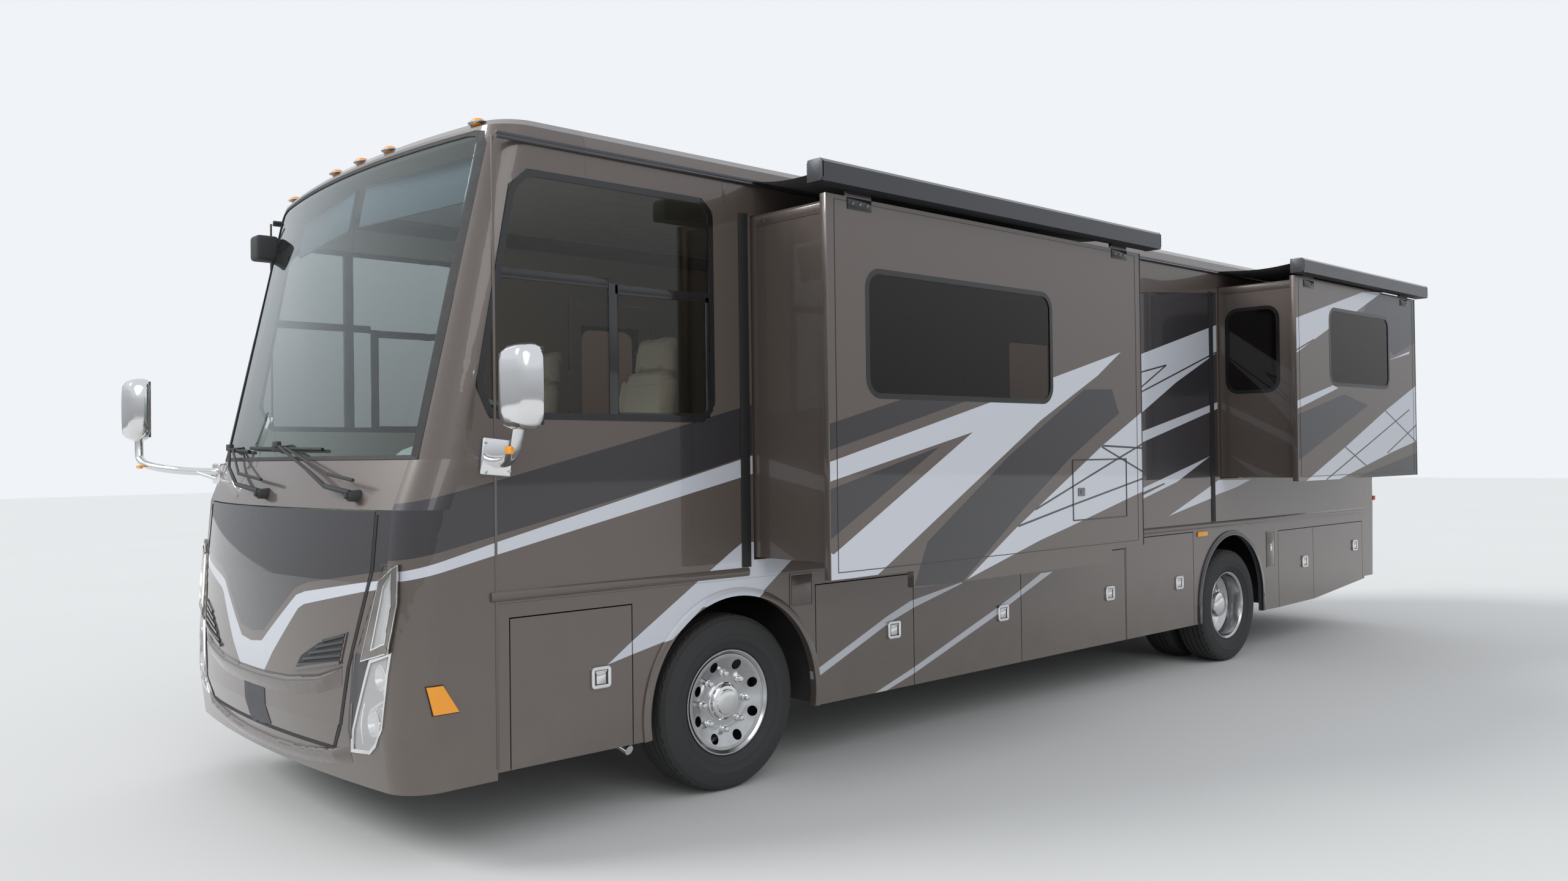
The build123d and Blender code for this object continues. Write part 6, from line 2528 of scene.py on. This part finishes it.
@dataclass
class RoofGear:
    """Shrouds of the air conditioners, lids of the vents, pipe caps and seam tapes on the roof."""

    slope: float = 0.22
    front_lean: float = 2.2
    rib: float = 0.006
    base: float = 3.151
    slot_count: int = 9

    def build(self) -> None:
        """Builds everything on the roof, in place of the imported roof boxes."""
        shrouds, slots, gaskets = Piece(), Piece(), Piece()
        for low, high in self.boxes():
            self.shroud(shrouds, low, high)
            gaskets.block((low.x - 0.012, low.y - 0.012, ROOF_Z + 0.0005),
                          (high.x + 0.012, high.y + 0.012, self.base + 0.008), 0.003)
            if high.x - low.x > 0.7:
                self.slots(slots, low, high)
        roof = shrouds.finish("roof_shrouds", WHITE_SHROUD, smooth=40.0)
        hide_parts("roof_units")
        slots.finish("roof_shroud_slots", BLACK_PLASTIC)
        gaskets.finish("roof_gear_gaskets", SEAL_RUBBER)
        self.fittings()

    def shroud(self, piece: Piece, low: Vector, high: Vector) -> None:
        """Adds one moulded cover: tapered, rounded, lower ahead, with ribs along its top.

        Args:
            piece: the piece that it goes into.
            low: the lower corner of the unit's box.
            high: the upper corner.
        """
        verts = bmesh.ops.create_cube(piece.bm, size=1.0)["verts"]
        tall = high.z - self.rib - self.base
        lean = self.slope * tall
        bmesh.ops.scale(piece.bm, vec=(high.x - low.x, high.y - low.y, tall), verts=verts)
        middle = ((low.x + high.x) / 2, (low.y + high.y) / 2, self.base + tall / 2)
        bmesh.ops.translate(piece.bm, vec=middle, verts=verts)
        for vert in verts:
            if vert.co.z > self.base + tall / 2:
                ahead = vert.co.x > (low.x + high.x) / 2
                vert.co.x += -self.front_lean * lean if ahead else lean
                vert.co.y += lean if vert.co.y < (low.y + high.y) / 2 else -lean
        piece.ease(verts, min(0.05, 0.35 * tall), 4)
        for share in (0.28, 0.50, 0.72):
            y = low.y + (high.y - low.y) * share
            start, end = low.x + lean + 0.05, high.x - self.front_lean * lean - 0.05
            piece.block((start, y - 0.014, high.z - self.rib - 0.004), (end, y + 0.014, high.z), 0.003)

    def slots(self, piece: Piece, low: Vector, high: Vector) -> None:
        """Adds three rows of air slots down each side of a large shroud.

        Args:
            piece: the piece that it goes into.
            low: the lower corner of the unit's box.
            high: the upper corner.
        """
        for edge in SIDES:
            for number in range(self.slot_count):
                x = low.x + 0.10 + (high.x - low.x - 0.30) * number / (self.slot_count - 1)
                for level in (0.060, 0.100, 0.140):
                    y = (high.y if edge > 0 else low.y) - edge * self.slope * level
                    z = self.base + level
                    piece.block((x - 0.032, y - edge * 0.012, z - 0.009), (x + 0.032, y + edge * 0.0012, z + 0.009),
                                0.002)

    def fittings(self) -> None:
        """Adds pipe caps and the tapes over the seams of the roof sheet."""
        caps, seams = Piece(), Piece()
        for x, y in ((3.30, -0.80), (0.60, 0.85), (-1.60, -0.85), (-3.90, 0.60)):
            caps.turned([(0.0, 0.0), (0.0, 0.070), (0.006, 0.070), (0.010, 0.045), (0.085, 0.040), (0.090, 0.062),
                          (0.112, 0.055), (0.122, 0.030), (0.124, 0.0)], (x, y, ROOF_Z), (0, 0, 1), 28,
                        start=(1, 0, 0))
        caps.finish("roof_pipe_caps", BLACK_PLASTIC)
        for x in (-4.55, -2.0, 0.5, 3.0, 3.82):
            seams.block((x - 0.040, -1.08, ROOF_Z + 0.0005), (x + 0.040, 1.08, ROOF_Z + 0.003), 0.001)
        for side in SIDES:
            seams.block((-4.60, side * 1.083, ROOF_Z), (3.84, side * 1.103, ROOF_Z + 0.004), 0.001)
        seams.finish("roof_seam_tapes", WHITE_SHROUD)

    def boxes(self) -> list[tuple[Vector, Vector]]:
        """Returns the box of each separate solid of the roof units.

        Returns:
            The lower and the upper corner of each box.
        """
        bm = bmesh.new()
        bm.from_mesh(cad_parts["roof_units"].data)
        bmesh.ops.remove_doubles(bm, verts=bm.verts, dist=1e-5)
        left = set(bm.verts)
        found = []
        while left:
            island, rim = set(), [left.pop()]
            while rim:
                vert = rim.pop()
                island.add(vert)
                for edge in vert.link_edges:
                    other = edge.other_vert(vert)
                    if other in left:
                        left.discard(other)
                        rim.append(other)
            low = Vector([min(v.co[i] for v in island) for i in range(3)])
            high = Vector([max(v.co[i] for v in island) for i in range(3)])
            found.append((low, high))
        bm.free()
        return sorted(found, key=lambda pair: pair[0].x)


@dataclass
class RearEnd:
    """Bezels, reflectors, high lamps, camera and a blank plate panel on the tail."""

    def build(self) -> None:
        """Builds the fittings of the tail."""
        bezels, red, clear, dark, crease = Piece(), Piece(), Piece(), Piece(), Piece()
        for side in SIDES:
            y = side * 1.065
            corners = [(-4.948, a, z) for a, z in rectangle((y - 0.082, 0.982), (y + 0.082, 1.578))]
            bezels.ring(corners, 0.030, 0.022, (-0.014, 0, 0), 5)
            for low in (1.010, 1.200, 1.390):
                lens = clear if low == 1.200 else red
                lens.block((-4.958, y - 0.054, low), (-4.946, y + 0.054, low + 0.160), 0.008, 3)
            red.block((-4.958, side * 0.900 - 0.045, 0.640), (-4.948, side * 0.900 + 0.045, 0.700), 0.006)
            dark.block((-4.955, side * 0.45 - 0.006, 0.42), (-4.948, side * 0.45 + 0.006, 0.90), 0.002)
        for y in (-1.02, -0.16, 0.0, 0.16, 1.02):
            red.block((-4.942, y - 0.040, 2.955), (-4.916, y + 0.040, 2.985), 0.008, 3)
        red.block((-4.950, -0.150, 2.700), (-4.930, 0.150, 2.728), 0.006)
        crease.block((-4.958, -1.16, 1.690), (-4.940, 1.16, 1.712), 0.006)
        crease.block((-4.960, -1.16, 0.905), (-4.944, 1.16, 0.930), 0.006)
        dark.block((-4.956, -0.180, 0.480), (-4.947, 0.180, 0.640), 0.008)
        dark.block((-4.968, -0.060, 0.650), (-4.946, 0.060, 0.668), 0.005)
        dark.block((-4.975, -0.045, 2.780), (-4.930, 0.045, 2.835), 0.012, 3)
        dark.ball((-4.974, 0.0, 2.805), (0.010, 0.016, 0.016), 20)
        bezels.finish("tail_lamp_bezels", CHROME)
        red.finish("tail_lamp_lenses", RED)
        clear.finish("reversing_lenses", WHITE_LENS)
        dark.finish("tail_small_fittings", BLACK_TRIM)
        crease.finish("tail_mouldings", BRONZE_TRIM)


@dataclass
class EntrySide:
    """Door handle, grab bar, hinges, porch lamp and step treads, and the awning arms."""

    search_step: float = 0.005
    least_rise: float = 0.08

    def build(self) -> None:
        """Builds the fittings of the kerb side."""
        y = -SIDE_Y
        handle, dark, lamp, treads, arms = Piece(), Piece(), Piece(), Piece(), Piece()
        corners = [(x, y, z) for x, z in rectangle((1.685, 1.320), (1.775, 1.470))]
        handle.ring(corners, 0.018, 0.014, (0, -0.012, 0), 5)
        handle.block((1.702, y - 0.016, 1.345), (1.758, y - 0.006, 1.440), 0.006)
        handle.finish("entry_latch", CHROME, "entry")
        dark.block((1.698, y - 0.003, 1.332), (1.762, y + 0.002, 1.458), 0.002)
        dark.block((1.695, y - 0.010, 1.520), (1.765, y, 1.600), 0.008)
        dark.finish("entry_latch_dish", BLACK_TRIM, "entry")
        hinge = Piece()
        for z in (0.62, 1.45, 2.52):
            hinge.rod((2.367, y - 0.003, z - 0.045), (2.367, y - 0.003, z + 0.045), 0.007, segments=16, ease=0.002)
        hinge.pipe([(1.560, y - 0.002, 1.180), (1.560, y - 0.075, 1.180), (1.560, y - 0.080, 1.240),
                    (1.560, y - 0.080, 1.750), (1.560, y - 0.075, 1.810), (1.560, y - 0.002, 1.810)], 0.014, 4, 6)
        for z in (1.180, 1.810):
            hinge.rod((1.560, y + 0.001, z), (1.560, y - 0.010, z), 0.030, 0.026, 24, 0.003)
        hinge.finish("grab_bar_and_hinges", CHROME)
        lamp.block((1.480, y - 0.030, 2.300), (1.620, y, 2.350), 0.010, 3)
        lamp.finish("porch_lamp", WHITE_LENS)
        for x0, x1, front, top in self.step_edges():
            treads.block((x0 + 0.02, front - 0.002, top - 0.030), (x1 - 0.02, front + 0.030, top + 0.003), 0.003)
            for number in range(4):
                line_y = front + 0.050 + number * 0.035
                treads.block((x0 + 0.04, line_y, top), (x1 - 0.04, line_y + 0.010, top + 0.003), 0.001)
        treads.finish("step_treads", SEAL_RUBBER)
        for x in (1.000, 3.860):
            arms.block((x - 0.028, y - 0.032, 1.150), (x + 0.028, y, 2.900), 0.006)
            arms.block((x - 0.018, y - 0.044, 1.300), (x + 0.018, y - 0.030, 2.880), 0.004)
            arms.block((x - 0.034, y - 0.122, 2.885), (x + 0.034, y, 3.012), 0.010, 3)
        arms.finish("patio_awning_arms", CASE_ALUMINIUM)

    def step_edges(self) -> list[tuple[float, float, float, float]]:
        """Returns the ends, front and height of every tread, found by looking down on the steps.

        Returns:
            Rear end, front end, outer edge and height of each tread.
        """
        tree = tree_of(["entry_step"])
        low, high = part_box("entry_step")
        found, last = [], -1.0
        for number in range(120):
            place = low.y + 0.004 + number * self.search_step
            if place > high.y:
                break
            hit = tree.ray_cast(Vector(((low.x + high.x) / 2, place, 3.0)), Vector((0, 0, -1)))[0]
            if hit is not None and hit.z > last + self.least_rise:
                found.append((low.x, high.x, place, hit.z))
                last = hit.z
        return found


@dataclass
class RoomTrim:
    """Painted shadow lines, edge strips and screw rows of the slide-out rooms, and the hatch of the front one."""

    def build(self) -> None:
        """Builds the trim of the three rooms."""
        for room in ROOMS:
            name, side, face, (start, end), (low, high) = room.name, room.side, room.face, room.ends, room.levels
            body = "slideout_" + name
            lines, strips, screws = Piece(), Piece(), Piece()
            y = side * face
            # a thin black ring inset on each room's face: a painted shadow line along the inner edge of the trim
            corners = [(x, y, z) for x, z in rectangle((start + 0.052, low + 0.030), (end - 0.052, high - 0.020))]
            lines.ring(corners, 0.0, 0.004, (0, side * 0.0012, 0))
            for x, way in ((start, -1), (end, 1)):
                strips.block((x - 0.003, y - side * 0.028, low), (x + way * 0.0035, y + side * 0.004, high), 0.0015)
                inner = x - way * 0.030
                head = high - 0.030
                strips.block((inner - way * 0.004, side * 1.285, head - 0.052),
                             (inner + way * 0.0035, y - side * 0.050, head - 0.006), 0.0015)
                for share in (0.12, 0.5, 0.88):
                    place = side * (1.285 + (face - 1.335) * share)
                    screws.rod((inner, place, head - 0.029), (inner + way * 0.006, place, head - 0.029),
                               0.008, 0.006, 12)
            lines.finish("fascia_shadow_lines_" + name, BLACK_TRIM, body)
            strips.finish("fascia_strips_" + name, BRONZE_TRIM, body)
            screws.finish("fascia_screws_" + name, STEEL, body)
        hatch, catch = Piece(), Piece()
        y = ROOMS[0].face
        corners = [(x, y, z) for x, z in rectangle((0.331, 1.250), (0.911, 1.606))]
        hatch.ring(corners, 0.006, 0.007, (0, 0.003, 0), 2)
        hatch.finish("room_hatch_edge", BLACK_TRIM, "slideout_front")
        catch.block((0.790, y, 1.392), (0.856, y + 0.006, 1.440), 0.004)
        catch.rod((0.823, y + 0.005, 1.416), (0.823, y + 0.010, 1.416), 0.014, segments=20, ease=0.002)
        catch.finish("room_hatch_catch", STEEL, "slideout_front")


@dataclass
class Underside:
    """Exhaust tip, spring clamps, brake cans and shock absorbers."""

    spring_y: float = 0.45

    def build(self) -> None:
        """Builds the small running gear."""
        chrome, steel, rubber = Piece(), Piece(), Piece()
        chrome.pipe([(3.700, 0.900, 0.350), (3.640, 1.020, 0.345), (3.612, 1.120, 0.325), (3.600, 1.190, 0.300)], 0.024,
                    4, 8)
        for axle in (FRONT_AXLE_X, REAR_AXLE_X):
            for side in SIDES:
                y = side * self.spring_y
                for step in (-0.075, 0.075):
                    for edge in (-0.045, 0.045):
                        steel.rod((axle + step, y + edge, 0.36), (axle + step, y + edge, 0.56), 0.009, segments=12)
                        steel.rod((axle + step, y + edge, 0.352), (axle + step, y + edge, 0.366), 0.016, segments=6)
                steel.block((axle - 0.11, y - 0.06, 0.366), (axle + 0.11, y + 0.06, 0.380), 0.003)
                rubber.rod((axle + 0.16, y * 0.86, 0.40), (axle + 0.24, y * 0.80, 0.66), 0.030, segments=20, ease=0.004)
                steel.rod((axle + 0.22, y * 0.815, 0.60), (axle + 0.27, y * 0.775, 0.76), 0.012, segments=12)
                steel.turned([(0.0, 0.0), (0.0, 0.078), (0.045, 0.082), (0.050, 0.090), (0.056, 0.090), (0.060, 0.082),
                              (0.110, 0.070), (0.118, 0.0)], (axle - 0.30, y * 1.18, 0.47), (1, 0, 0), 28)
        chrome.finish("exhaust_tip", CHROME)
        steel.finish("spring_clamps_and_brakes", BLACK_STEEL)
        rubber.finish("shock_absorbers", BLACK_PLASTIC)


def main() -> None:
    """Builds the whole scene in order."""
    logging.basicConfig(level=logging.INFO, format="%(message)s")
    Studio().build()
    PaintShop().build()
    parts = (Wheels(), BayLatches(), Seams(), Windows(), Nose(), Wipers(), Mirrors(), Toppers(), Markers(),
             Windscreen(), Cab(), RoofGear(), RearEnd(), EntrySide(), RoomTrim(), Underside())
    for part in parts:
        part.build()
        log.info("%s done", type(part).__name__)


if __name__ == "__main__":
    main()
